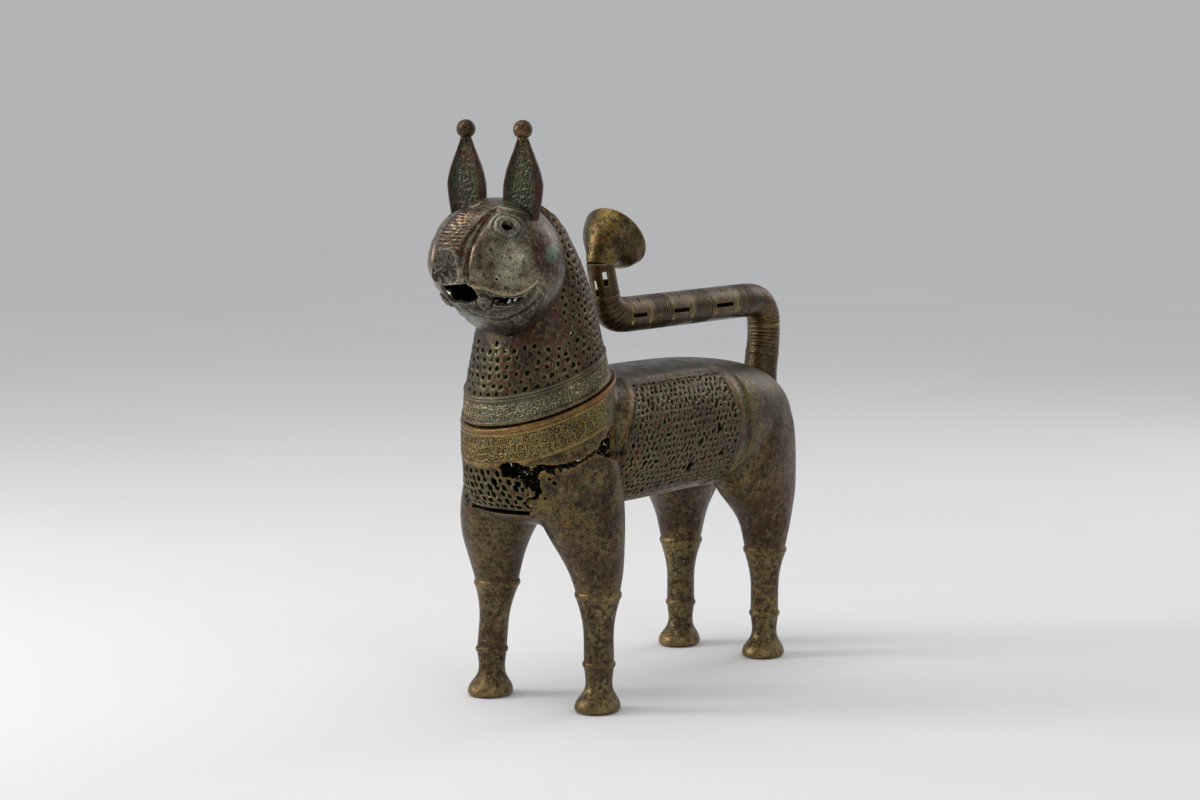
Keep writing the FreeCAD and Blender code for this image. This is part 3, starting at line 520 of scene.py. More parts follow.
# Where metal is lost from the breast: turns from straight ahead, and heights
losses = {
    "breast": [
        (3.3, 148.7), (7.3, 151.4), (11.2, 152.6), (18.5, 152.6), (22.1, 152.3), (23.9, 149.6),
        (26.5, 147.9), (29.1, 147.6), (32.5, 149.4), (35.1, 151.2), (39.4, 152.0), (47.3, 151.4),
        (51.7, 151.5), (57.2, 152.2), (61.1, 153.1), (65.0, 153.3), (69.1, 153.7), (73.5, 155.2),
        (78.1, 157.0), (84, 159.3), (82.5, 156.0), (76.9, 154.2), (72.4, 152.6), (67.0, 150.9),
        (64.0, 149.1), (61.5, 149.6), (59.6, 147.8), (57.2, 149.3), (55.4, 148.8), (53.1, 146.1),
        (51.3, 149.5), (49.2, 148.6), (49.9, 145.1), (45.5, 145.9), (42.0, 148.0), (39.3, 147.6),
        (37.3, 144.9), (36.7, 143.4), (38.5, 142.7), (38.4, 139.4), (39.6, 136.6), (40.1, 134.8),
        (37.8, 133.7), (36.6, 130.9), (33.3, 130.3), (29.9, 129.9), (26.4, 127.8), (24.5, 128.4),
        (25.5, 130.3), (31.8, 132.3), (31.7, 135.2), (29.9, 137.8), (27.5, 137.3), (25.6, 135.7),
        (23.8, 137.8), (23.1, 139.8), (20.3, 141.7), (16.7, 142.4), (13.9, 143.5), (11.1, 143.1),
        (8.3, 144.1), (7.3, 146.1), (5.3, 147.8),
    ],
    "shoulder": [
        (83.0, 157.0), (86.7, 161.3), (88.9, 163.2), (95.6, 165.9), (99.6, 168.6), (104.4, 170.8),
        (108, 171.2), (113, 169.8), (112, 166.1), (114, 162), (113, 157.6), (115, 151.9), (113, 148.3),
        (107.3, 149.8), (101, 150.3), (96.6, 151.3), (92.1, 153.4), (87.5, 155.0),
    ],
    "slit": [(26.6, 123.4), (29.0, 125.7), (32.5, 125.8), (33.3, 124.6), (30.7, 122.3), (27.7, 121.9)],
    "holeA": [(43.3, 142.8), (45.1, 144.2), (46.8, 142.8), (45.5, 141.2)],
    "holeB": [(46.8, 140.3), (49.0, 142.0), (51.3, 140.2), (49.9, 138.5)],
    "holeC": [(40.1, 131.7), (42.9, 132.2), (43.9, 131.1), (41.5, 130.2)],
}
openwork = {
    "wall": 2.2, "sink": 0.15, "relief": 0.55,
    "flankFront": [(-53, 191), (-67, 178), (-77, 160), (-84, 145), (-80, 132), (-70, 123)],
    "flankRear": 45.0, "flankLow": 123.0, "flankHigh": 191.0, "flankGrain": 0.72,
    "flankBroken": [(38, 183, 1.8), (4, 152, 1.7), (-6, 137, 2.0), (20, 160, 1.5)],
    "flankPitch": 5.0, "flankRow": 3.9, "flankHole": (1.6, 1.0), "flankLean": 52,
    "breastLow": 120.0, "breastTurn": 61.0, "breastNear": 31.0, "breastGrain": 0.7,
    "breastPitch": 5.6, "breastRow": 4.5, "breastHole": (2.0, 1.35), "breastLean": 128,
    "neckPitch": 6.0, "neckRow": 5.0, "neckHole": 1.3, "neckColumns": 300, "neckRows": 116,
}


def turned(turn, z, radius):
    angle = math.radians(turn)
    return (radius * math.sin(angle), chest["y"] - radius * math.cos(angle), z)


# A cutter that fans out level from the chest's axis, on an outline of turns and heights
def breastCutter(name, outline):
    inner, outer = 20.0, 62.0
    axis = toFrame([(0, chest["y"], 0)])[0, :2]

    def spread(points):
        points[:, :2] = axis + (points[:, :2] - axis) * outer / inner
        return points

    return fanCutter(name, [turned(turn, z, inner) for turn, z in outline], spread)


# Everything above a plane parallel to the seam
def aboveSeam(offset):
    corners = [(-160, -260), (160, -260), (160, 60), (-160, 60)]
    outline = [(x, y, float(seamHeight(x, y, offset))) for x, y in corners]
    return prism("seamCutter", outline, (0, 0, 260))


def flankOutline():
    corners = [(openwork["flankRear"], openwork["flankLow"]), (openwork["flankRear"], openwork["flankHigh"])]
    return corners + openwork["flankFront"]


# Height of the chest band's lower edge on the breast, by turns from straight ahead
def bandFoot(turn):
    angle = np.radians(turn)
    x = chest["halfDepth"] * np.sin(angle)
    y = chest["y"] - chest["halfDepth"] * np.cos(angle)
    return seamHeight(x, y, chest["rim"] - chest["band"])


def breastOutline():
    left, right = int(openwork["breastNear"]), -int(openwork["breastTurn"])
    top = [(turn, float(bandFoot(turn)) - 1.0) for turn in range(left, right - 1, -6)]
    low = [(turn, openwork["breastLow"]) for turn in range(right, left + 1, 6)]
    return top + low


def lineDistance(x, y, line):
    line = np.array(line, float)
    shortest = np.full(len(x), farOff)
    for (ax, ay), (bx, by) in zip(line[:-1], line[1:]):
        length = (bx - ax) ** 2 + (by - ay) ** 2
        share = np.clip(((x - ax) * (bx - ax) + (y - ay) * (by - ay)) / length, 0, 1)
        shortest = np.minimum(shortest, np.hypot(x - ax - share * (bx - ax), y - ay - share * (by - ay)))
    return shortest


# Raised lines on the casting: round the flank fields, and over each foreleg's shoulder
def raiseLines(piece):
    x, y, z = toMillimetres(readPoints(piece)).T
    ridge, perTurn = 0.9, 0.79
    field = flankOutline()
    field = near(lineDistance(y, z, field + field[:1]), 2.6, 1.0)
    rise = ridge * field * smoothStep(16, 24, np.abs(x)) * smoothStep(-90, -84, y)
    turn = np.abs(np.degrees(np.arctan2(x, chest["y"] - y)))
    shoulder = [(t * perTurn, height) for t, height in torso["shoulderLine"]]
    rise += ridge * near(lineDistance(turn * perTurn, z, shoulder), 0, 1.1) * (y < -62)
    keepRelief(piece, rise * 0.6)
    moveOut(piece, rise)


# A layer that the patina reads: bare metal on what stands up, green salts and painted shade in what lies deep
def keepRelief(piece, relief):
    layer = piece.data.attributes.new("relief", "FLOAT", "POINT")
    layer.data.foreach_set("value", relief)


# Every point is moved out along its normal, by millimetres
def moveOut(piece, distances):
    normals = np.empty(len(piece.data.vertices) * 3)
    piece.data.vertices.foreach_get("normal", normals)
    writePoints(piece, readPoints(piece) + normals.reshape(-1, 3) * (distances * 0.001)[:, None])


raiseLines(bodyCasting)
skinForm = bodyCasting.copy()
skinForm.data = bodyCasting.data.copy()
skinForm.name = "skinForm"
bpy.context.collection.objects.link(skinForm)

print("hollowing the body")
inner = joinInto("hollow", torsoForms(torso["wall"], levels=2))
modify(inner, "REMESH", mode="VOXEL", voxel_size=0.003)
cutAway(bodyCasting, lineWith(inner, "soot"))
cutAway(bodyCasting, aboveSeam(chest["rim"]))
for side in (1, -1):
    field = [(side * 18, y, z) for y, z in flankOutline()]
    cutAway(bodyCasting, prism("flankCutter", field, (side * 60, 0, 0)))
cutAway(bodyCasting, breastCutter("breastWindow", breastOutline()))
for name, outline in losses.items():
    cutAway(bodyCasting, breastCutter(name, outline))
print("casting", len(bodyCasting.data.polygons))


# Holes in rows, each moved, leaned and sized a little: along, up, half length, half width, lean
def drillPlaces(wide, tall, pitch, row, half, lean, seed):
    chance = np.random.RandomState(seed)
    places = []
    for j in range(int(tall / row) + 1):
        for i in range(int(wide / pitch) + 2):
            s = (i + 0.5 * (j % 2)) * pitch + chance.normal(0, 0.13) * pitch
            t = j * row + chance.normal(0, 0.13) * row
            size = 1 + chance.normal(0, 0.14)
            turn = math.radians(lean + chance.normal(0, 16))
            places.append((s, t, half[0] * size, half[1] * size, turn))
    return np.array(places)


# How far each point lies from its nearest hole and the next one, where 1 is the hole's edge
def holeDistance(s, t, places, girth=None):
    nearest = np.full((2, len(s)), farOff)
    for first in range(0, len(s), 4000):
        part = slice(first, first + 4000)
        ds = s[part, None] - places[None, :, 0]
        if girth:
            ds = (ds + girth / 2) % girth - girth / 2
        dt = t[part, None] - places[None, :, 1]
        c, q = np.cos(places[:, 4]), np.sin(places[:, 4])
        along = (ds * c + dt * q) / places[:, 2]
        across = (-ds * q + dt * c) / places[:, 3]
        reach = np.sqrt(along ** 2 + across ** 2)
        nearest[:, part] = np.partition(reach, 1, axis=1)[:, :2].T
    return nearest


# Arabesque relief from -1 to 1: in each cell of a loose net a tendril curls up, stems run between the cells
def scrollRelief(s, t, size, seed):
    chance = np.random.RandomState(seed)
    rows = int((t.max() - t.min()) / (size * 0.87)) + 2
    columns = int((s.max() - s.min()) / size) + 2
    middles = []
    for j in range(rows):
        for i in range(columns):
            along = s.min() + (i + 0.5 * (j % 2)) * size + chance.normal(0, 0.13) * size
            middles.append((along, t.min() + (j + 0.3) * size * 0.87 + chance.normal(0, 0.10) * size))
    middles = np.array(middles)
    start = chance.uniform(0, 2 * math.pi, len(middles))
    hand = np.where(chance.uniform(0, 1, len(middles)) < 0.5, -1, 1)
    relief = np.empty(len(s))
    for first in range(0, len(s), 3000):
        part = slice(first, first + 3000)
        ds = s[part, None] - middles[None, :, 0]
        dt = t[part, None] - middles[None, :, 1]
        reach = np.hypot(ds, dt)
        own = reach.argmin(axis=1)
        line = np.arange(len(own))
        nearest = reach[line, own]
        second = np.partition(reach, 1, axis=1)[:, 1]
        angle = np.arctan2(dt[line, own], ds[line, own])
        curl = np.sin(2 * math.pi * nearest / 1.75 + hand[own] * angle + start[own])
        curl += 0.5 * np.cos(3 * angle + start[own]) * smoothStep(0.25 * size, 0.45 * size, nearest)
        stem = np.exp(-((second - nearest) / 0.55) ** 2)
        relief[part] = np.maximum(np.clip(curl, -1, 1), stem * 2 - 1)
    return relief


# A piece's outside is moved in and out by the relief, and a layer keeps it for the patina
def engrave(piece, s, t, mask, size, deep, seed):
    keepRelief(piece, scrollRelief(s, t, size, seed) * mask)
    raiseRelief(piece, deep)


# A sheet on a fine grid: faces inside holes or outside the field are taken out,
# and veins between the holes stand up
def pierceSheet(
    name, cells, size, wrap, keep, places=None, girth=None, onSkin=False, flip=False, chased=None,
):
    sheet, u, v = newGrid(name, *cells)
    s, t = u * size[0], v * size[1]
    if chased:
        first = np.full(len(s), farOff)
        relief = chased(s, t)
    else:
        first, second = holeDistance(s, t, places, girth)
        veins = np.exp(-((second - first) / 0.34) ** 2)
        drift = np.sin(s * 1.31 + 2.1 * np.sin(t * 0.9))
        veins *= 0.55 + 0.45 * drift * np.sin(t * 1.17 + 1.7 * np.sin(s * 0.7))
        relief = veins - 0.5 * np.exp(-((first - 1.0) / 0.3) ** 2)
    keepRelief(sheet, relief)
    writePoints(sheet, toFrame(wrap(s, t)))
    ends = np.empty(len(sheet.data.loops), int)
    sheet.data.loops.foreach_get("vertex_index", ends)
    corners = ends.reshape(-1, 4)
    out = first[corners].mean(axis=1) < 1.0
    out |= ~keep(s[corners].mean(axis=1), t[corners].mean(axis=1))
    bpy.ops.object.mode_set(mode="EDIT")
    bpy.ops.mesh.select_mode(type="FACE")
    bpy.ops.mesh.select_all(action="DESELECT")
    bpy.ops.object.mode_set(mode="OBJECT")
    sheet.data.polygons.foreach_set("select", out)
    bpy.ops.object.mode_set(mode="EDIT")
    bpy.ops.mesh.delete(type="FACE")
    bpy.ops.mesh.select_mode(type="VERT")
    bpy.ops.mesh.select_all(action="SELECT")
    if girth:
        bpy.ops.mesh.remove_doubles(threshold=0.00001)
    if flip:
        bpy.ops.mesh.flip_normals()
    bpy.ops.object.mode_set(mode="OBJECT")
    if onSkin:
        modify(
            sheet, "SHRINKWRAP", target=skinForm, wrap_method="NEAREST_SURFACEPOINT", wrap_mode="ON_SURFACE",
        )
    modify(sheet, "SMOOTH", factor=0.5, iterations=2)
    if chased:
        raiseRelief(sheet, 0.3, 0.35)
    else:
        raiseRelief(sheet, openwork["relief"], -openwork["sink"])
    sheet.data.materials.append(None)
    sheet.data.materials.append(finishes["soot"])
    return modify(sheet, "SOLIDIFY", thickness=openwork["wall"] * 0.001, offset=-1, material_offset=1)


def raiseRelief(piece, tall, lift=0.0):
    relief = np.empty(len(piece.data.vertices))
    piece.data.attributes["relief"].data.foreach_get("value", relief)
    moveOut(piece, relief * tall + lift)


# Height and half width along the girth of the barrel, from under the belly to the top of the back
def girthTable():
    half = (torso["back"] - torso["belly"]) / 2
    middle = (torso["back"] + torso["belly"]) / 2
    angles = np.linspace(-math.pi / 2, math.pi / 2, 400)
    z = middle + half * np.sign(np.sin(angles)) * np.abs(np.sin(angles)) ** (2 / 2.5)
    x = torso["halfWidth"] * np.abs(np.cos(angles)) ** (2 / 2.5)
    arc = np.concatenate([[0], np.cumsum(np.hypot(np.diff(z), np.diff(x)))])
    return z, x, arc


def makeFlank(side):
    z, x, arc = girthTable()
    low = float(np.interp(openwork["flankLow"] - 2, z, arc))
    high = float(np.interp(openwork["flankHigh"] + 1.5, z, arc))
    tall, wide = high - low, 131.0
    rear = openwork["flankRear"] + 2
    front = np.array(openwork["flankFront"], float)[::-1]
    lean = 180 - openwork["flankLean"] if side > 0 else openwork["flankLean"]

    def heightAt(t):
        return np.interp(low + t, arc, z)

    def frontAt(t):
        return np.interp(heightAt(t), front[:, 1], front[:, 0])

    def wrap(s, t):
        return np.stack([side * np.interp(low + t, arc, x), rear - s, heightAt(t)], axis=1)

    def keep(s, t):
        return rear - s > frontAt(t) - 2

    pitch, row, half = openwork["flankPitch"], openwork["flankRow"], openwork["flankHole"]
    places = drillPlaces(wide, tall, pitch, row, half, lean, 4 + side)
    for y, height, share in openwork["flankBroken"]:
        spots = (places[:, 0] - (rear - y)) ** 2 + (places[:, 1] + low - np.interp(height, z, arc)) ** 2
        places[spots.argmin(), 2:4] *= share
    s, t = places[:, 0], places[:, 1]
    places = places[(s > 4.5) & (rear - s > frontAt(t) + 2.5) & (t > 3) & (t < tall - 3.5)]
    name = "leftFlankNet" if side > 0 else "rightFlankNet"
    cells = (int(wide / openwork["flankGrain"]), int(tall / openwork["flankGrain"]))
    return pierceSheet(name, cells, (wide, tall), wrap, keep, places, onSkin=True, flip=side > 0)


def makeBreast():
    turns = openwork["breastTurn"] + openwork["breastNear"] + 4
    wide = math.radians(turns) * chest["girthRadius"]
    tall = 40.0
    foot = openwork["breastLow"] - 2

    def turnAt(s):
        return s * turns / wide - openwork["breastTurn"] - 2

    def wrap(s, t):
        x, y = aroundChest(np.radians(turnAt(s)))
        return np.stack([x, y, foot + t], axis=1)

    def keep(s, t):
        turn, z = turnAt(s), foot + t
        inside = z < bandFoot(turn) + 1
        for name in ("breast", "slit"):
            inside &= ~insideOutline(turn, z, losses[name])
        return inside

    pitch, row, half = openwork["breastPitch"], openwork["breastRow"], openwork["breastHole"]
    places = drillPlaces(wide, tall, pitch, row, half, openwork["breastLean"], 9)
    s, t = places[:, 0], places[:, 1]
    places = places[(t > 2.5) & (t < bandFoot(turnAt(s)) - openwork["breastLow"] + 2 - 2.2)]
    cells = (int(wide / openwork["breastGrain"]), int(tall / openwork["breastGrain"]))
    return pierceSheet("breastNet", cells, (wide, tall), wrap, keep, places, onSkin=True)


# The engraved band under the collar, a thin chased layer on the casting between two plain raised edges
def makeChestBand():
    reach, tall = 95.0, 17.6
    wide = math.radians(2 * reach) * chest["girthRadius"]

    def place(s, t):
        angle = np.radians(s / wide * 2 * reach - reach)
        x, y = aroundChest(angle)
        return angle, np.stack([x, y, seamHeight(x, y, -3.3 - tall + t)], axis=1)

    def wrap(s, t):
        return place(s, t)[1]

    def keep(s, t):
        angle, points = place(s, t)
        inside = np.ones(len(s), bool)
        for name in losses:
            inside &= ~insideOutline(np.degrees(angle), points[:, 2], losses[name])
        return inside

    def chased(s, t):
        field = smoothStep(2.2, 2.9, t) * (1 - smoothStep(15.0, 15.7, t))
        edges = near(t, 1.2, 0.8) + near(t, 16.6, 0.7)
        return scrollRelief(s, t, 4.6, 31) * field + 0.9 * edges

    return pierceSheet("chestBandSheet", (620, 42), (wide, tall), wrap, keep, onSkin=True, chased=chased)


def insideOutline(x, y, outline):
    inside = np.zeros(len(x), bool)
    for (x1, y1), (x2, y2) in zip(outline, outline[1:] + outline[:1]):
        crosses = (y1 > y) != (y2 > y)
        with np.errstate(divide="ignore", invalid="ignore"):
            at = (x2 - x1) * (y - y1) / (y2 - y1) + x1
        inside ^= crosses & (x < at)
    return inside


# Head: nearly a ball, turned a little to the lion's right, its jaw narrower in front
head = {
    "y": -143.6, "z": 266.7, "radius": 40.0, "wall": 2.6, "turn": -9.0,
    "lifts": [-82, -61, -41, -20, 0, 20, 40, 61, 82],
    "fronts": [0.80, 0.76, 0.82, 0.98, 1.0, 1.0, 0.97, 0.95, 1.0],
    "squareness": [1.3, 1.3, 1.35, 1.6, 2.0, 2.0, 2.0, 2.0, 2.0],
    "crease": [
        (44, 56), (36.7, 47.5), (31.1, 38.9), (26.5, 29.7), (23.4, 21.2), (21.7, 11.8), (20.7, 2.7),
        (19.7, -7.8), (18, -12),
    ],
    "cheekLine": [(33, 22), (32.7, 14), (32.5, 6.8), (30, -2)],
    "lip": [
        (25, -13.6), (27.8, -14.4), (35.4, -15.2), (42.1, -17.6), (49, -20.2), (57.5, -21.6), (66.1, -20.5),
        (73.1, -17.2), (78.7, -12.9), (82.2, -9),
    ],
    "jaw": [
        (14, -37), (24, -40), (35.1, -43.5), (49.6, -44.4), (60.3, -42.6), (70, -38.3), (78.3, -31.1),
        (82.8, -23.6), (85.6, -18),
    ],
    "brow": [(42, 60), (49.1, 61.3), (67, 58.7), (80.3, 55), (92.4, 50.5)],
    "plate": [
        (0, 18), (12, 15.5), (15, 6), (18, -7), (13, -12), (0, -13.5), (-13, -12), (-18, -7), (-15, 6),
        (-12, 15.5),
    ],
    "mouth": [
        (0, -13), (8, -11.8), (17, -11.8), (24, -15), (27, -20.5), (26.5, -27), (20, -32), (11, -34),
        (4, -32.5), (0, -31),
    ],
    "slot": [
        (41, -24.5), (49, -25.3), (58, -26), (66, -25.5), (75, -23.5), (73, -29), (67, -33.5), (57, -36.5),
        (46, -36.5), (41, -33),
    ],
    "eye": (57.5, 38.6), "eyeHole": 3.6, "eyeRim": 7.9,
    "crown": (0, 78), "crownHole": 1.9, "boss": (0, 64), "bossRise": 1.4, "chin": (0, -62), "chinReach": 34.5,
    "fang": (32.6, -28.8), "fangR": 5.0,
    "pinHole": (46.3, -7.2),
}
headCentre = np.array([0, head["y"], head["z"]])


# The direction from the head's middle at a turn from straight ahead and a lift, in degrees
def gaze(turn, lift):
    side = np.radians(np.asarray(turn, float) + head["turn"])
    rise = np.radians(np.asarray(lift, float))
    return np.stack([np.sin(side) * np.cos(rise), -np.cos(side) * np.cos(rise), np.sin(rise)], axis=-1)


# The turn and the lift of each direction
def bearings(ways):
    turn = np.degrees(np.arctan2(ways[:, 0], -ways[:, 1])) - head["turn"]
    lift = np.degrees(np.arcsin(np.clip(ways[:, 2], -1, 1)))
    return (turn + 180) % 360 - 180, lift


# Neck: height and share of the chest's size
neck = {
    "stations": [
        (157, 0.985), (191, 0.955), (216, 0.86), (232, 0.79), (256, 0.655), (270, 0.535), (284, 0.39),
        (293, 0.265), (299, 0.12), (300.6, 0.02),
    ],
    "band": 17.0, "bandRadius": 44.0, "netTop": 300.4, "girth": 258.0, "height": 112.0,
}


def neckShare(z):
    heights = [s[0] for s in neck["stations"]]
    shares = [s[1] for s in neck["stations"]]
    fine = np.linspace(157, 300, 300)
    rough = np.interp(fine, heights, shares)
    for _ in range(60):
        rough[1:-1] = (rough[:-2] + 2 * rough[1:-1] + rough[2:]) / 4
    return np.interp(z, fine, rough)


def onNeck(turn, z, outset=0.0):
    x, y = aroundChest(np.radians(turn), neckShare(z), outset)
    return np.stack([x, y, z], axis=1)


# Height on the neck of a line parallel to the seam, found in steps because the neck narrows upward
def neckSeam(turn, offset):
    z = np.full(np.shape(turn), seam["height"], float)
    for _ in range(4):
        x, y = aroundChest(np.radians(turn), neckShare(z))
        z = seamHeight(x, y, offset)
    return z


def makeNeckNet():
    girth, tall = neck["girth"], neck["height"]
    chance = np.random.RandomState(12)
    places = []
    for j in range(int(tall / openwork["neckRow"])):
        t = (j + 0.6) * openwork["neckRow"]
        share = 1 - 0.62 * (t / tall) ** 1.6
        count = int(girth * share / openwork["neckPitch"])
        for i in range(count):
            r = openwork["neckHole"] * (1 + chance.normal(0, 0.13)) / share
            s = (i + 0.5 * (j % 2) + chance.normal(0, 0.10)) * girth / count
            places.append((s, t + chance.normal(0, 0.09) * openwork["neckRow"], r, r * share, 0.0))
    places = np.array(places)

    def place(s, t):
        turn = s / girth * 360 + 180
        low = neckSeam(turn, neck["band"] - 1.5)
        return turn, low + (neck["netTop"] - low) * t / tall

    def wrap(s, t):
        return onNeck(*place(s, t))

    turn, z = place(places[:, 0], places[:, 1])
    bearing = (turn + 180) % 360 - 180
    underHead = (np.abs(bearing) < 62) & (z > 221)
    inHead = np.linalg.norm(onNeck(turn, z) - headCentre, axis=1) < head["radius"] + 1.5
    places = places[~(underHead | inHead)]

    def keep(s, t):
        offset = wrap(s, t) - headCentre
        clear = np.linalg.norm(offset, axis=1) > head["radius"] - 2
        return clear | (offset @ gaze(*head["chin"]) > head["chinReach"] - 2)

    cells = (openwork["neckColumns"], openwork["neckRows"])
    return pierceSheet("neckNet", cells, (girth, tall), wrap, keep, places, girth=girth)


# The band at the foot of the neck, a closed girdle with a rolled lower lip and a raised upper line
def makeNeckBand():
    profile = [
        (0.8, -1.9), (0.8, 0.3), (1.1, 1.1), (1.8, 1.6), (2.7, 1.5), (3.4, 0.9), (4.1, 0.35),
        *[(4.1 + 0.86 * i, 0.4) for i in range(1, 11)],
        (13.6, 0.35), (14.1, 0.8), (14.7, 0.85), (15.1, 0.45), (15.6, 1.0), (16.3, 1.1), (16.9, 0.6),
        (17.3, -0.2), (17.3, -1.9),
    ]
    piece = girdle("neckBandCasting", profile, 620, neckBandSpot, 3)
    x, y, z = toMillimetres(readPoints(piece)).T
    offset = z - seamHeight(x, y)
    mask = smoothStep(4.3, 4.9, offset) * (1 - smoothStep(12.9, 13.5, offset))
    engrave(piece, np.arctan2(x, chest["y"] - y) * neck["bandRadius"], offset, mask, 4.9, 0.32, 41)
    return piece


def neckBandSpot(turn, offset, outset):
    return onNeck(turn, neckSeam(turn, offset), outset)


# A closed band round the chest or the neck, from a profile of offsets along it and outsets from it
def girdle(name, profile, sides, spot, fine=1):
    offsets = np.array([p[0] for p in profile] + [profile[0][0]])
    outsets = np.array([p[1] for p in profile] + [profile[0][1]])
    steps = np.linspace(0, 1, len(offsets))

    def mapping(u, v):
        return spot(u * 360, np.interp(v, steps, offsets), np.interp(v, steps, outsets))

    return wrapGrid(name, sides, len(profile) * fine, mapping)


# The collar under the head: a flat ring on the cut chest whose worn lip rolls over the edge
def collarSpot(turn, offset, outset):
    x, y = aroundChest(np.radians(turn), outset=outset)
    return np.stack([x, y, seamHeight(x, y, offset)], axis=1)


def makeCollar():
    profile = [
        (-3.0, -5.6), (-3.0, -0.2), (-2.8, 0.35), (-2.2, 0.7), (-1.2, 0.8), (-0.5, 0.55), (-0.1, 0.1),
        (0.0, -0.5), (0.0, -4.6), (3.6, -5.4), (3.9, -5.8), (3.9, -6.6), (3.4, -7.0), (-3.0, -7.0),
    ]
    return girdle("neckCollarRing", profile, 160, collarSpot)


print("piercing the flanks, breast and neck")
leftFlankNet = makeFlank(1)
rightFlankNet = makeFlank(-1)
breastNet = makeBreast()
chestBand = makeChestBand()
neckNet = makeNeckNet()
neckBandCasting = makeNeckBand()
collarRing = makeCollar()
print("nets", [len(piece.data.polygons) for piece in (leftFlankNet, breastNet, neckNet)])


# Distance in millimetres over the head from a line of (turn, lift), on both cheeks
def strokeDistance(ways, line, mirrored=True):
    turns, lifts = np.array(line, float).T
    steps = np.linspace(0, len(line) - 1, 12 * len(line))
    t = np.interp(steps, range(len(line)), turns)
    f = np.interp(steps, range(len(line)), lifts)
    dots = ways @ gaze(t, f).T
    if mirrored:
        dots = np.concatenate([dots, ways @ gaze(-t, f).T], axis=1)
    return head["radius"] * np.arccos(np.clip(dots.max(axis=1), -1, 1))


def spotDistance(ways, spot, mirrored=True):
    return strokeDistance(ways, [spot, spot], mirrored)


# A cutter that fans out from the head's middle, on an outline of turns and lifts
def headCutter(name, outline):
    inner, outer = 22.0, 60.0

    def spread(points):
        return toFrame(headCentre + (toMillimetres(points) - headCentre) * outer / inner)

    ways = gaze([t for t, f in outline], [f for t, f in outline])
    return fanCutter(name, headCentre + ways * inner, spread)


def roundOutline(middle, radius, count=20):
    direction = gaze(*middle)
    across = np.cross((0, 0, 1), direction)
    across /= np.linalg.norm(across)
    up = np.cross(direction, across)
    outline = []
    for i in range(count):
        angle = 2 * math.pi * i / count
        way = direction * head["radius"] + (across * math.cos(angle) + up * math.sin(angle)) * radius
        way /= np.linalg.norm(way)
        turn = math.degrees(math.atan2(way[0], -way[1])) - head["turn"]
        outline.append((turn, math.degrees(math.asin(way[2]))))
    return outline


# The head's surface: a ball squared off toward the jaw and flat under the chin, with its raised lines
def headPoints(ways, radius, detail):
    turn, lift = bearings(ways)
    front = np.interp(lift, head["lifts"], head["fronts"])
    power = np.interp(lift, head["lifts"], head["squareness"])
    side = np.abs(np.sin(np.radians(turn)))
    ahead = np.cos(np.radians(turn))
    shape = (side ** power + (np.abs(ahead) / front) ** power) ** (-1 / power)
    shape = np.where(ahead > 0, shape, 1.0)
    points = np.stack([ways[:, 0] * shape, ways[:, 1] * shape, ways[:, 2]], axis=1) * radius
    down = gaze(*head["chin"])
    reach = head["chinReach"] - (0 if detail else head["wall"])
    points -= down * np.clip(points @ down - reach, 0, None)[:, None]
    if not detail:
        return points
    rise = np.zeros(len(ways))
    away = np.abs(turn)
    crease = strokeDistance(ways, head["crease"])
    creaseTurn = np.interp(
        lift, [-12, -7.8, 2.7, 11.8, 21.2, 29.7, 38.9, 47.5, 56],
        [18, 19.7, 20.7, 21.7, 23.4, 26.5, 31.1, 36.7, 44],
    )
    nose = smoothStep(-1.5, 3.0, (creaseTurn - away) * np.cos(np.radians(lift)) * 0.7)
    nose *= smoothStep(-16, -8, lift) * (1 - smoothStep(52, 64, lift))
    rise += nose * np.interp(lift, [-15, 10, 18, 30, 60], [0.8, 1.6, 2.2, 1.5, 0.3])
    rise -= 1.1 * nose * near(away, creaseTurn - 4.5, 3.2) * smoothStep(4, 14, lift)
    ribs = nose * smoothStep(16, 20, lift) * (1 - smoothStep(50, 58, lift)) * (1 - smoothStep(12, 16, away))
    rise += ribs * 0.45 * np.sin(2 * math.pi * lift * head["radius"] * math.pi / 180 / 2.3)
    rise -= 1.2 * near(crease, 0, 1.3)
    cheek = smoothStep(0.5, 5, (away - creaseTurn) * np.cos(np.radians(lift)) * 0.7)
    cheek = cheek * smoothStep(-14, -4, lift) * (1 - smoothStep(44, 58, lift))
    rise += 0.5 * cheek * (1 - smoothStep(70, 100, away))
    rise -= 0.35 * near(strokeDistance(ways, head["cheekLine"]), 0, 1.1)
    rise += 0.75 * near(strokeDistance(ways, head["lip"]), 0, 0.85)
    jaw = strokeDistance(ways, head["jaw"])
    rise += 0.7 * near(jaw, 0, 2.0) - 0.5 * near(jaw, 3.6, 1.0)
    rise += 0.7 * near(strokeDistance(ways, head["brow"]), 0, 1.2)
    eye = spotDistance(ways, head["eye"])
    eyeRing = 0.55 * (1 - smoothStep(head["eyeRim"] - 0.7, head["eyeRim"] + 0.2, eye))
    rise += eyeRing - 0.5 * near(eye - head["eyeRim"], 0.3, 0.6)
    rise -= 0.5 * near(eye - head["eyeHole"], 0.6, 0.7)
    fang = spotDistance(ways, head["fang"])
    inFang = np.sqrt(np.clip(1 - (fang / head["fangR"]) ** 2, 0, 1))
    rings = 2.2 + 0.35 * np.cos(2 * math.pi * fang / 2.1)
    rise += inFang * rings - 0.6 * near(fang - head["fangR"], 0.4, 0.7)
    rise += head["bossRise"] * (1 - smoothStep(3.0, 6.0, spotDistance(ways, head["boss"], mirrored=False)))
    plate = insideOutline(turn, lift, head["plate"])
    points = points * (1 + rise / radius)[:, None]
    # the worn end of the nose is a flat plate
    facing = gaze(0, 0)
    reach = points @ facing
    flatReach = head["radius"] + 1.6
    points[plate] += facing * ((flatReach - reach[plate]) * 0.85)[:, None]
    return points


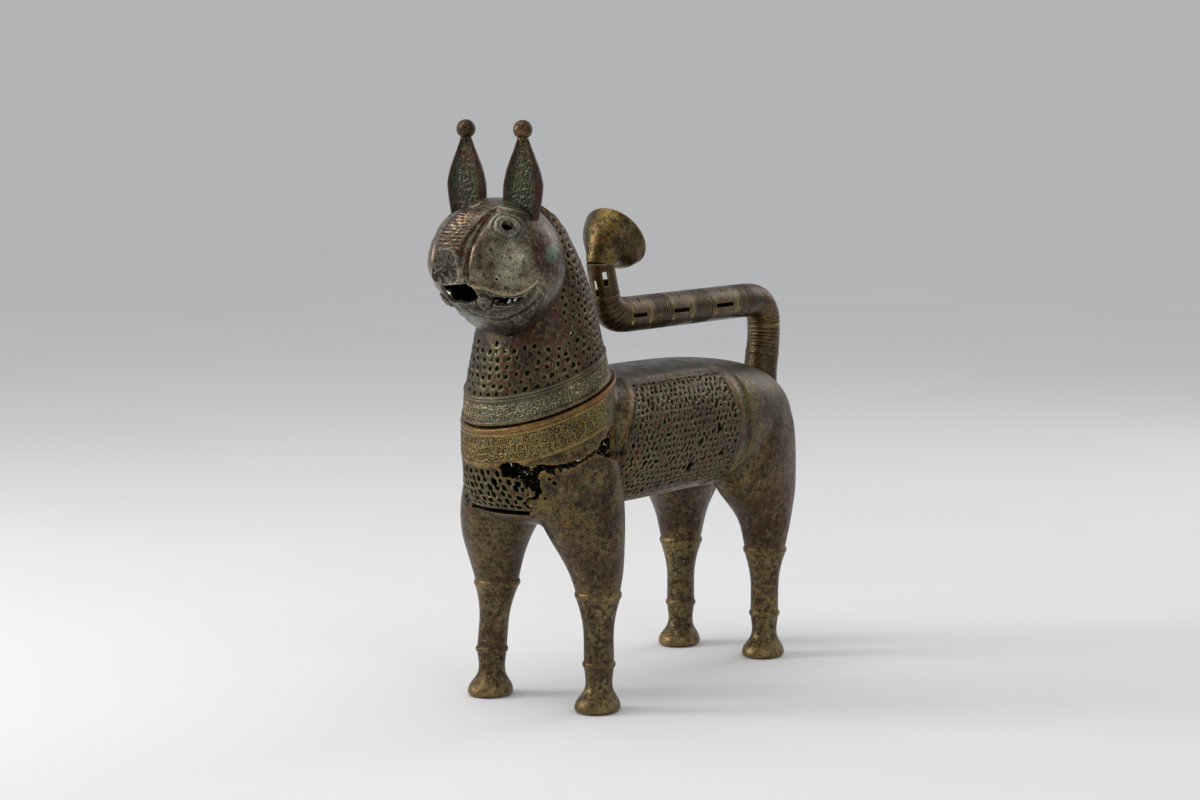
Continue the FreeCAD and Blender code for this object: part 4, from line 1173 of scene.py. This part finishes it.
def headBall(name, subdivisions, radius, detail):
    piece = newMesh(name, bpy.ops.mesh.primitive_ico_sphere_add, subdivisions=subdivisions, radius=1)
    ways = readPoints(piece)
    ways /= np.linalg.norm(ways, axis=1)[:, None]
    writePoints(piece, toFrame(headPoints(ways, radius, detail) + headCentre))
    return piece


def makeHead():
    piece = headBall("headCasting", 7, head["radius"], True)
    cutAway(piece, lineWith(headBall("headCore", 5, head["radius"] - head["wall"], False), "soot"))
    cutAway(piece, lineWith(neckCore(), "soot"))
    # the mouth is narrower on the far side
    farSide = [(-0.6 * t, f) for t, f in reversed(head["mouth"])]
    cutAway(piece, headCutter("mouthCutter", head["mouth"] + farSide[1:-1]))
    for side in (1, -1):
        cutAway(piece, headCutter("slotCutter", [(side * t, f) for t, f in head["slot"]]))
        turn, lift = head["eye"]
        cutAway(piece, headCutter("eyeCutter", roundOutline((side * turn, lift), head["eyeHole"])))
    cutAway(piece, headCutter("crownCutter", roundOutline(head["crown"], head["crownHole"], 12)))
    cutAway(piece, headCutter("pinCutter", roundOutline(head["pinHole"], 1.0, 10)))
    return piece


# The inside of the neck, which opens into the head
def neckCore():
    stations = []
    for z in np.linspace(175, 296, 16):
        share = float(neckShare(z))
        halves = (chest["halfWidth"] * share - head["wall"], chest["halfDepth"] * share - head["wall"])
        stations.append((0, chest["y"], float(z), *halves))
    return growRings("neckCore", 24, stations, levels=1)


# Ears, and the stations of the knobs on them: height above the ear, radius
ear = {
    "x": -1.7, "spread": 20.8, "y": -143.5, "seat": 301.0, "length": 39.5,
    "halfWidth": 13.8, "halfDepth": 8.0, "toeIn": 1.7,
    "knob": [
        (-0.9, 3.6), (-0.2, 3.9), (0.5, 3.2), (1.0, 3.1), (1.7, 4.4), (3.2, 5.3),
        (5.6, 5.75), (8.0, 5.3), (9.8, 3.9), (10.7, 2.2), (11.1, 1.0),
    ],
}


# The engraved inside of the ear's front, away from its rolled rim
def earFront(side, x, y, z):
    s = x - (ear["x"] + side * ear["spread"])
    climb = (z - ear["seat"]) / ear["length"]
    width = ear["halfWidth"] * np.interp(climb, [-0.42, 0.34, 0.56, 0.78, 1], [0.74, 1, 0.84, 0.56, 0.3])
    return smoothStep(0.78, 0.66, np.abs(s) / width) * (y < ear["y"] + 0.5)


def makeEar(side):
    x = ear["x"] + side * ear["spread"]
    climbs = [-0.42, -0.08, 0.15, 0.34, 0.56, 0.78, 0.90, 0.96, 1.0]
    shares = [0.74, 0.90, 0.98, 1.0, 0.84, 0.56, 0.40, 0.34, 0.26]
    toes = [1, 0.7, 0.35, 0, 0, 0, 0, 0, 0]
    steps = np.linspace(0, 1, len(climbs))

    def mapping(u, v):
        climb = np.interp(v, steps, climbs)
        share = np.interp(v, steps, shares)
        toe = np.interp(v, steps, toes) * ear["toeIn"]
        angle = u * 2 * math.pi
        across = np.cos(angle)
        t = np.abs(across)
        hollow = -0.40 * np.exp(-((t - 0.80) / 0.15) ** 2) - 0.06
        hollow *= smoothStep(1.02, 0.97, climb) * 0.8 + 0.2
        depth = np.where(np.sin(angle) >= 0, np.sin(angle), hollow * smoothStep(0, 0.12, -np.sin(angle)))
        return np.stack([x - side * toe + ear["halfWidth"] * share * across,
                         ear["y"] + ear["halfDepth"] * share * depth,
                         ear["seat"] + climb * ear["length"]], axis=1)

    piece = wrapGrid("leftEarLeaf" if side > 0 else "rightEarLeaf", 48, 24, mapping)
    startEditing()
    bpy.ops.mesh.select_all(action="DESELECT")
    bpy.ops.mesh.select_non_manifold(extend=False)
    bpy.ops.mesh.edge_face_add()
    endEditing()
    modify(piece, "SMOOTH", factor=0.5, iterations=2)
    subdivide(piece, 2)
    px, py, pz = toMillimetres(readPoints(piece)).T
    engrave(piece, px - x, pz, earFront(side, px, py, pz), 5.2, 0.3, 50 + side)
    return piece


def makeKnob(side):
    x = ear["x"] + side * ear["spread"]
    top = ear["seat"] + ear["length"]
    rings = [(x, ear["y"], top + z, radius, radius) for z, radius in ear["knob"]]
    return growRings("leftEarBall" if side > 0 else "rightEarBall", 20, rings)


# Tail: a ribbed tube that rises from the rump, runs forward over the back and ends in a bell
tail = {
    "wall": 2.0, "ribPitch": 2.6, "ribDepth": 0.42, "radius": 11.0, "height": 229.5,
    "root": [(143, 150), (143, 166), (143, 182), (145.6, 194), (147, 204), (147, 212)],
    "arm": [
        (147, 212), (146.2, 218.5), (141.5, 225.3), (134, 228.8), (125, 229.5), (100, 229.5), (50, 229.5),
        (0, 229.5), (-16, 229.5), (-23.5, 230.3), (-29.5, 233.0), (-33.2, 238.2), (-34.6, 243),
    ],
    "stem": [(-34.6, 243), (-36, 247.5), (-38.2, 254), (-39.8, 259.5), (-40.1, 263)],
    "bell": [(-40.1, 262), (-39.2, 266.2), (-36.6, 269.9), (-32.6, 273.0), (-28.0, 275.8), (-23.9, 278.4)],
    "bellRadii": [8.9, 9.35, 13.3, 17.8, 20.3, 21.2],
    "slits": [(-19.5, -2.5), (25.0, 44.5), (73.5, 96.0)],
}


# A line with its corners cut off three times over
def smoothLine(corners):
    line = np.array(corners, float)
    for _ in range(3):
        cut = [line[:1]]
        a, b = line[:-1], line[1:]
        cut.append(np.stack([a * 0.75 + b * 0.25, a * 0.25 + b * 0.75], axis=1).reshape(-1, line.shape[1]))
        cut.append(line[-1:])
        line = np.concatenate(cut)
    return line


def lengthAlong(line):
    return np.concatenate([[0], np.cumsum(np.hypot(*np.diff(line, axis=0).T))])


# A tube along a line in the lion's middle plane; radius is a function of the distance along it
def tubeAlong(name, corners, radius, step=0.65, sides=40):
    line = smoothLine(corners)
    along = lengthAlong(line)
    count = max(4, int(along[-1] / step))

    def mapping(u, v):
        s = v * along[-1]
        y = np.interp(s, along, line[:, 0])
        z = np.interp(s, along, line[:, 1])
        dy = np.interp(s + 0.8, along, line[:, 0]) - np.interp(s - 0.8, along, line[:, 0])
        dz = np.interp(s + 0.8, along, line[:, 1]) - np.interp(s - 0.8, along, line[:, 1])
        length = np.hypot(dy, dz)
        r = radius(s, y, z)
        angle = u * 2 * math.pi
        out = r * np.sin(angle)
        return np.stack([r * np.cos(angle), y + out * dz / length, z - out * dy / length], axis=1)

    piece = wrapGrid(name, sides, count, mapping)
    modify(piece, "SOLIDIFY", thickness=tail["wall"] * 0.001, offset=-1)
    return piece


def ribs(s):
    return -tail["ribDepth"] * (0.5 + 0.5 * np.cos(2 * math.pi * s / tail["ribPitch"])) ** 2


def makeTailRoot():
    def radius(s, y, z):
        ribbed = smoothStep(194, 197, z)
        lip = 0.35 * np.exp(-((z - 192.5) / 0.8) ** 2)
        return 11.3 - 0.3 * smoothStep(150, 210, z) + ribs(s) * ribbed + lip

    return tubeAlong("tailRootTube", tail["root"], radius)


def makeTailArm():
    def radius(s, y, z):
        bend = smoothStep(-14, -20, y) * smoothStep(243.5, 238, z)
        groups = bend.copy()
        for low, high in ((3.5, 22.5), (50.5, 70.5), (102.5, 120)):
            groups = np.maximum(
                groups, smoothStep(low - 1, low + 1, y) * (1 - smoothStep(high - 1, high + 1, y)),
            )
        groups = np.maximum(groups, smoothStep(127, 130, y) * 0.7)
        base = tail["radius"] - 2.3 * smoothStep(231, 242, z) * (y < 0)
        return base + ribs(s) * groups

    return tubeAlong("tailArmTube", tail["arm"], radius)


def makeTailStem():
    return tubeAlong("tailStemTube", tail["stem"], lambda s, y, z: 8.7 + 0.35 * np.exp(-(s / 1.0) ** 2))


def makeTailBell():
    line = smoothLine(tail["bell"])
    radii = smoothLine([(r, 0) for r in tail["bellRadii"]])[:, 0]
    along = lengthAlong(line)

    def radius(s, y, z):
        lip = 0.5 * smoothStep(along[-1] - 1.6, along[-1] - 0.6, s)
        return np.interp(s, along, radii) + lip

    return subdivide(tubeAlong("tailBellCup", tail["bell"], radius, step=1.0, sides=48), 1)


def block(name, low, high):
    (x0, y0, z0), (x1, y1, z1) = low, high
    return prism(name, [(x0, y0, z0), (x1, y0, z0), (x1, y1, z0), (x0, y1, z0)], (0, 0, z1 - z0))


# Shanks and feet, turned up from the sole, with raised rings at ankle and knee
def makeShank(name):
    k, a, f, s = legs["kneeR"], legs["ankleR"], legs["footR"], legs["shankR"]
    knee, ankle = legs["knee"], legs["ankle"]
    levels = [
        (0.0, 0, -1.5, 0.88 * f, 1.0 * f), (0.25, 0, -1.5, 0.90 * f, 1.03 * f),
        (1.2, 0, -1.5, 0.985 * f, 1.12 * f), (3.0, 0, -1.5, 0.985 * f, 1.12 * f),
        (6.2, 0, -1.3, 0.93 * f, 1.05 * f), (9.5, 0, -0.7, 0.76 * f, 0.82 * f),
        (12.5, 0, -0.2, 0.635 * f, 0.64 * f), (17.0, 0, 0, 0.80 * a, 0.80 * a),
        (22.0, 0, 0, 0.86 * a, 0.86 * a), (ankle - 2.6, 0, 0, 0.91 * a, 0.91 * a),
        (ankle - 1.9, 0, 0, 0.92 * a, 0.92 * a), (ankle - 1.5, 0, 0, 0.99 * a, 0.99 * a),
        (ankle, 0, 0, 1.04 * a, 1.04 * a), (ankle + 1.5, 0, 0, 0.99 * a, 0.99 * a),
        (ankle + 1.9, 0, 0, 0.93 * a, 0.93 * a), (ankle + 2.6, 0, 0, 0.93 * a, 0.93 * a), (40, 0, 0, s, s),
        (50.0, 0, 0, s, s), (60.0, 0, 0, 1.2 * s, 1.2 * s), (knee - 3.0, 0, 0, 0.9 * k, 0.9 * k),
        (knee - 2.1, 0, 0, 0.92 * k, 0.92 * k), (knee - 1.6, 0, 0, 0.96 * k, 0.96 * k),
        (knee, 0, 0, 0.99 * k, 0.99 * k), (knee + 1.6, 0, 0, 0.96 * k, 0.96 * k),
        (knee + 2.1, 0, 0, 0.93 * k, 0.93 * k), (knee + 3.2, 0, 0, 0.90 * k, 0.90 * k),
        (knee + 5, 0, 0, 0.6 * k, 0.6 * k),
    ]
    return growRings(name + "Shank", 16, legStations(name, levels), levels=2)


print("modelling the head, ears, tail and legs")
headCasting = makeHead()
ears = {side: makeEar(side) for side in (1, -1)}
knobs = {side: makeKnob(side) for side in (1, -1)}
tailRoot, tailArm, tailStem, tailBell = makeTailRoot(), makeTailArm(), makeTailStem(), makeTailBell()
shanks = {name: makeShank(name) for name in legPlaces()}


# Slots are sawn through the tail, and their faces show the pale metal inside
def slantedCut(y, side, lean):
    z = tail["height"] + 4.5
    inner, outer = side * 2.6, side * 7.6
    outline = [(outer, y, z), (outer, y + 2.0, z), (inner, y + 2.0 + lean, z), (inner, y + lean, z)]
    return prism("cut", outline, (0, 0, 10))


def sawTail():
    height, beyond = tail["height"], 14.0
    for low, high in tail["slits"]:
        for side in (1, -1):
            # the slit, then upright cuts at its ends: inner edge, rear, front, bottom, top
            rows = [
                (6.0, low, high, -1.5, 1.4), (9.35, high + 1.2, high + 3.6, -5.4, 5.6),
                (9.35, low - 1.0, low + 1.4, 2.2, 5.4), (9.35, low - 0.4, low + 1.8, -5.4, -2.3),
            ]
            cuts = []
            for edge, rear, front, bottom, top in rows:
                right, left = sorted((side * edge, side * beyond))
                cuts.append(block("cut", (right, rear, height + bottom), (left, front, height + top)))
            cuts.append(slantedCut(low + 2.5, side, -5.0))
            cuts.append(slantedCut(low + 9.5, side, 4.0))
            for cutter in cuts:
                cutAway(tailArm, lineWith(cutter, "brass"))
    # slots round the stem: where each one starts and ends along it, every fourth alike
    spans = [(9.0, 19.0), (1.0, 12.0), (7.5, 17.0), (2.5, 9.0)]
    foot = Vector((0, *tail["stem"][0]))
    top = Vector((0, *tail["stem"][-1]))
    way = (top - foot).normalized()
    across = Vector((1, 0, 0))
    ahead = way.cross(across)
    halfSlot = 1.7
    for i, turn in enumerate((20, 68, 118, 168, 218, 268, 318)):
        out = across * math.cos(math.radians(turn)) + ahead * math.sin(math.radians(turn))
        beside = way.cross(out).normalized()
        low, high = spans[i % 4]
        ends = ((low, -halfSlot), (low, halfSlot), (high, halfSlot), (high, -halfSlot))
        corners = [tuple(foot + way * a + beside * b + out * 4.0) for a, b in ends]
        cutAway(tailStem, lineWith(prism("cut", corners, out * 9), "brass"))


print("sawing the slots of the tail")
sawTail()


# A piece's own layer of painted tones, later ones over earlier ones
def paint(piece, tones):
    count = len(piece.data.vertices)
    colour, alpha = np.zeros((count, 3)), np.zeros(count)
    for amount, tone in tones:
        amount = np.clip(amount, 0, 1) * np.ones(count)
        colour = colour * (1 - amount)[:, None] + amount[:, None] * np.array(hexColour(tone)[:3])
        alpha = alpha * (1 - amount) + amount
    colour = colour / np.maximum(alpha, 0.001)[:, None]
    layer = piece.data.attributes.new("tint", "FLOAT_COLOR", "POINT")
    layer.data.foreach_set("color", np.concatenate([colour, alpha[:, None]], axis=1).ravel())


def paintBody():
    y, z = toMillimetres(readPoints(bodyCasting)).T[1:]
    inChest = smoothStep(-62, -70, y)
    haunch = near(y, 92, 26) * smoothStep(70, 100, z) * (1 - smoothStep(140, 168, z))
    upper = smoothStep(112, 100, z) * smoothStep(66, 80, z)
    back = smoothStep(184, 191, z)
    paint(bodyCasting, [
        (0.55 * haunch, "#4E2A1E"), (0.4 * upper, "#4A3323"), (0.75 * back * (1 - inChest), "#332D20"),
    ])


def paintHead():
    points = toMillimetres(readPoints(headCasting)) - headCentre
    ways = points / np.linalg.norm(points, axis=1)[:, None]
    turn, lift = bearings(ways)
    away = np.abs(turn)
    creaseTurn = np.interp(lift, [-12, 2.7, 21.2, 38.9, 56], [18, 20.7, 23.4, 31.1, 44])
    bridge = smoothStep(creaseTurn + 5, creaseTurn, away) * smoothStep(-14, -6, lift) * smoothStep(
        72, 58, lift,
    )
    ribbed = smoothStep(17, 13, away) * smoothStep(15, 20, lift) * smoothStep(60, 50, lift)
    plate = insideOutline(turn, lift, head["plate"]) * 1.0
    jaw = smoothStep(-14, -19, lift) * smoothStep(110, 90, away)
    behind = smoothStep(66, 96, away + 8 * np.sin(lift * 0.16)) * smoothStep(-20, -4, lift)
    eye = spotDistance(ways, head["eye"])
    fleck = strokeDistance(ways, [(99, 12), (104, 13)])
    paint(headCasting, [
        (0.85 * jaw, "#2A281B"), (0.7 * behind, "#45301F"), (0.9 * bridge, "#3D2113"),
        (0.75 * ribbed, "#4E3424"), (0.95 * plate, "#1D1A16"),
        (0.7 * near(strokeDistance(ways, head["crease"]), 3.0, 2.0), "#4A2A1C"),
        (0.75 * near(strokeDistance(ways, head["lip"]), 0, 1.0), "#9C8A5C"),
        (0.55 * smoothStep(14, 9, eye) * smoothStep(3, 5, eye), "#5E6553"),
        (0.85 * smoothStep(17, 11, fleck), "#44241A"),
        (0.8 * smoothStep(6.5, 3.5, fleck), "#55705A"), (0.5 * smoothStep(62, 74, lift), "#5A4A38"),
    ])


def paintEar(side):
    piece = ears[side]
    x, y, z = toMillimetres(readPoints(piece)).T
    climb = (z - ear["seat"]) / ear["length"]
    inner = earFront(side, x, y, z)
    paint(piece, [
        (0.8 * (1 - inner), "#46271A"),
        (0.6 * inner * smoothStep(0.6, 0.3, climb) * (0.4 + 0.6 * (side > 0)), "#283426"),
        (0.7 * smoothStep(0.6, 0.8, climb), "#4E2C1A"),
    ])


def paintNet(piece, tones):
    x, y, z = toMillimetres(readPoints(piece)).T
    paint(piece, [(amount(x, y, z), tone) for amount, tone in tones])


def paintGirdle(piece, tones):
    x, y, z = toMillimetres(readPoints(piece)).T
    angle = np.arctan2(x, chest["y"] - y)
    offset = z - seamHeight(x, y)
    paint(piece, [(amount(np.degrees(angle), offset), tone) for amount, tone in tones])


paintBody()
paintHead()
for side in (1, -1):
    paintEar(side)
paintGirdle(neckBandCasting, [
    (lambda turn, offset: 0.7 * near(turn, 15, 45), "#5A5D52"),
    (lambda turn, offset: 0.6 * near(turn, 75, 22), "#57301D"),
    (lambda turn, offset: 0.75 * smoothStep(3.8, 3.0, offset), "#5E4B2A"),
    (lambda turn, offset: 0.5 * near(turn, -30, 16), "#5C2A1B"),
])
paintGirdle(collarRing, [(lambda turn, offset: smoothStep(68, 88, turn), "#7A3523")])
paintNet(leftFlankNet, [
    (lambda x, y, z: 0.7 * near(y, -15, 40) * near(z, 150, 26), "#4C271D"),
    (lambda x, y, z: 0.5 * smoothStep(20, 40, y), "#3D2B1D"),
])
# Painted tones on the neck: red-brown toward the lion's left, and on its right and front a dark green that is
# partly the net's own tone and partly painted shade where the head's shadow falls
paintNet(neckNet, [
    (lambda x, y, z: 0.7 * near(x, 30, 22), "#452A1D"),
    (lambda x, y, z: 0.6 * smoothStep(10, -10, x), "#2F3526"),
])


def finish(piece, name):
    if "tint" not in piece.data.attributes:
        paint(piece, [])
    slots = piece.data.materials
    if not slots:
        slots.append(None)
    slots[0] = finishes[name]
    select(piece)
    bpy.ops.object.shade_smooth_by_angle(angle=math.radians(50))


remove(skinForm)
legNodes = [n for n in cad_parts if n.endswith("_leg")]
# Each piece with its body, its slot, its finish and the nodes that it stands for
dressed = [
    (bodyCasting, "lion", "bronze_body", "body", ["body_shell"] + legNodes),
    (leftFlankNet, "lion", "bronze_openwork", "net", ["left_flank_openwork"]),
    (rightFlankNet, "lion", "bronze_openwork", "net", ["right_flank_openwork"]),
    (breastNet, "lion", "bronze_openwork", "net", ["chest_openwork"]),
    (chestBand, "lion", "bronze_body", "gold", []),
    (collarRing, "lion", "copper_collar", "copper", ["neck_collar"]),
    (neckBandCasting, "head", "bronze_band", "band", ["neck_band"]),
    (neckNet, "head", "bronze_openwork", "net", ["neck_openwork"]),
    (
        headCasting, "head", "bronze_head", "head",
        [
            "head_shell", "nose_ridge", "nose_plate", "crown_boss", "left_eye_rim", "right_eye_rim",
            "left_fang", "right_fang",
        ],
    ),
    (ears[1], "head", "bronze_ears", "ear", ["left_ear"]),
    (ears[-1], "head", "bronze_ears", "ear", ["right_ear"]),
    (knobs[1], "head", "bronze_ears", "tail", ["left_ear_knob"]),
    (knobs[-1], "head", "bronze_ears", "tail", ["right_ear_knob"]),
    (tailRoot, "lion", "bronze_tail", "tail", ["tail_root"]),
    (tailArm, "lion", "bronze_tail", "tail", ["tail_arm"]),
    (tailStem, "lion", "bronze_tail", "tail", ["tail_stem"]),
    (tailBell, "lion", "bronze_tail", "bell", ["tail_bell"]),
]
for name, piece in shanks.items():
    z = toMillimetres(readPoints(piece))[:, 2]
    # painted highlights: a paler gold on the feet and round the knees
    paint(piece, [(0.6 * near(z, 4, 7), "#7B683E"), (0.4 * near(z, legs["knee"], 5), "#6E5B34")])
    dressed.append((piece, "lion", "bronze_legs", "leg", []))
for piece, body, slot, look, nodes in dressed:
    finish(piece, look)
    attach(piece, body)
    if nodes:
        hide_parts(*nodes)

# Floor, soft lamps and a pale world
print("setting the floor, lamps and camera")
circle = {"vertices": 128, "radius": 4.5, "fill_type": "NGON", "location": (0, 0, -0.0005)}
floor = newMesh("studioFloor", bpy.ops.mesh.primitive_circle_add, **circle)
bpy.ops.object.transform_apply(location=True, rotation=True, scale=True)
material, tree = newTree("paleSweep")
place = addNode(tree, "TexCoord").outputs["Object"]
tone = addNode(tree, "TexNoise", {"Scale": 3.0, "Detail": 2}, {"Vector": place}).outputs["Fac"]
ramp = addNode(tree, "Mix", {6: hexColour("#E2E2E3"), 7: hexColour("#E8E8E9")}, {0: tone}, data_type="RGBA")
setSurface(tree, {"Roughness": 0.85}, {"Base Color": ramp.outputs[2]})
floor.data.materials.append(material)

world = bpy.data.worlds.new("paleStudio")
bpy.context.scene.world = world
world.use_nodes = True
tree = world.node_tree
tree.nodes.clear()
ray = addNode(tree, "LightPath").outputs
seen = sumOf(tree, "MAXIMUM", ray["Is Camera Ray"], ray["Is Glossy Ray"])
seen = sumOf(tree, "MAXIMUM", seen, ray["Is Transmission Ray"])
soft = addNode(tree, "Background", {"Color": hexColour("#FDFEFF"), "Strength": 0.58})
shown = addNode(tree, "Background", {"Color": hexColour("#B3B4B6"), "Strength": 1.0})
both = addNode(tree, "MixShader", {}, {0: seen, 1: soft.outputs[0], 2: shown.outputs[0]})
addNode(tree, "OutputWorld", {}, {"Surface": both.outputs[0]})

lamps = [
    ("overheadSoftbox", (-0.35, -0.35, 1.25), 0.9, 5.0, "#FFFFFF"),
    ("leftSoftbox", (-1.1, -0.9, 0.75), 0.45, 9.5, "#FFF8F0"),
    ("rightSoftbox", (1.3, -0.6, 0.8), 0.6, 2.2, "#F6FAFF"),
    ("rearSoftbox", (0.3, 1.3, 0.9), 0.8, 3.5, "#FFFFFF"),
]
for name, spot, size, power, tint in lamps:
    select()
    bpy.ops.object.light_add(type="AREA", location=spot)
    lamp = bpy.context.object
    lamp.name = name
    lamp.data.shape = "SQUARE"
    lamp.data.size = size
    lamp.data.energy = power
    lamp.data.color = hexColour(tint)[:3]
    way = Vector((0, 0, 0.17)) - Vector(spot)
    lamp.rotation_mode = "QUATERNION"
    lamp.rotation_quaternion = way.to_track_quat("-Z", "Y")

shot = {
    "turn": 35.6, "lift": 6.555, "distance": 1.8, "lens": 85.32, "target": (-0.030895, 0.014827, 0.172763),
}
turn, lift = math.radians(shot["turn"]), math.radians(shot["lift"])
back = Vector((math.sin(turn) * math.cos(lift), -math.cos(turn) * math.cos(lift), math.sin(lift)))
select()
bpy.ops.object.camera_add()
camera = bpy.context.object
camera.data.sensor_width = 36
camera.data.lens = shot["lens"]
camera.location = Vector(shot["target"]) + back * shot["distance"]
camera.rotation_mode = "QUATERNION"
camera.rotation_quaternion = (-back).to_track_quat("-Z", "Y")
bpy.context.scene.camera = camera
bpy.context.scene.view_settings.view_transform = "Standard"
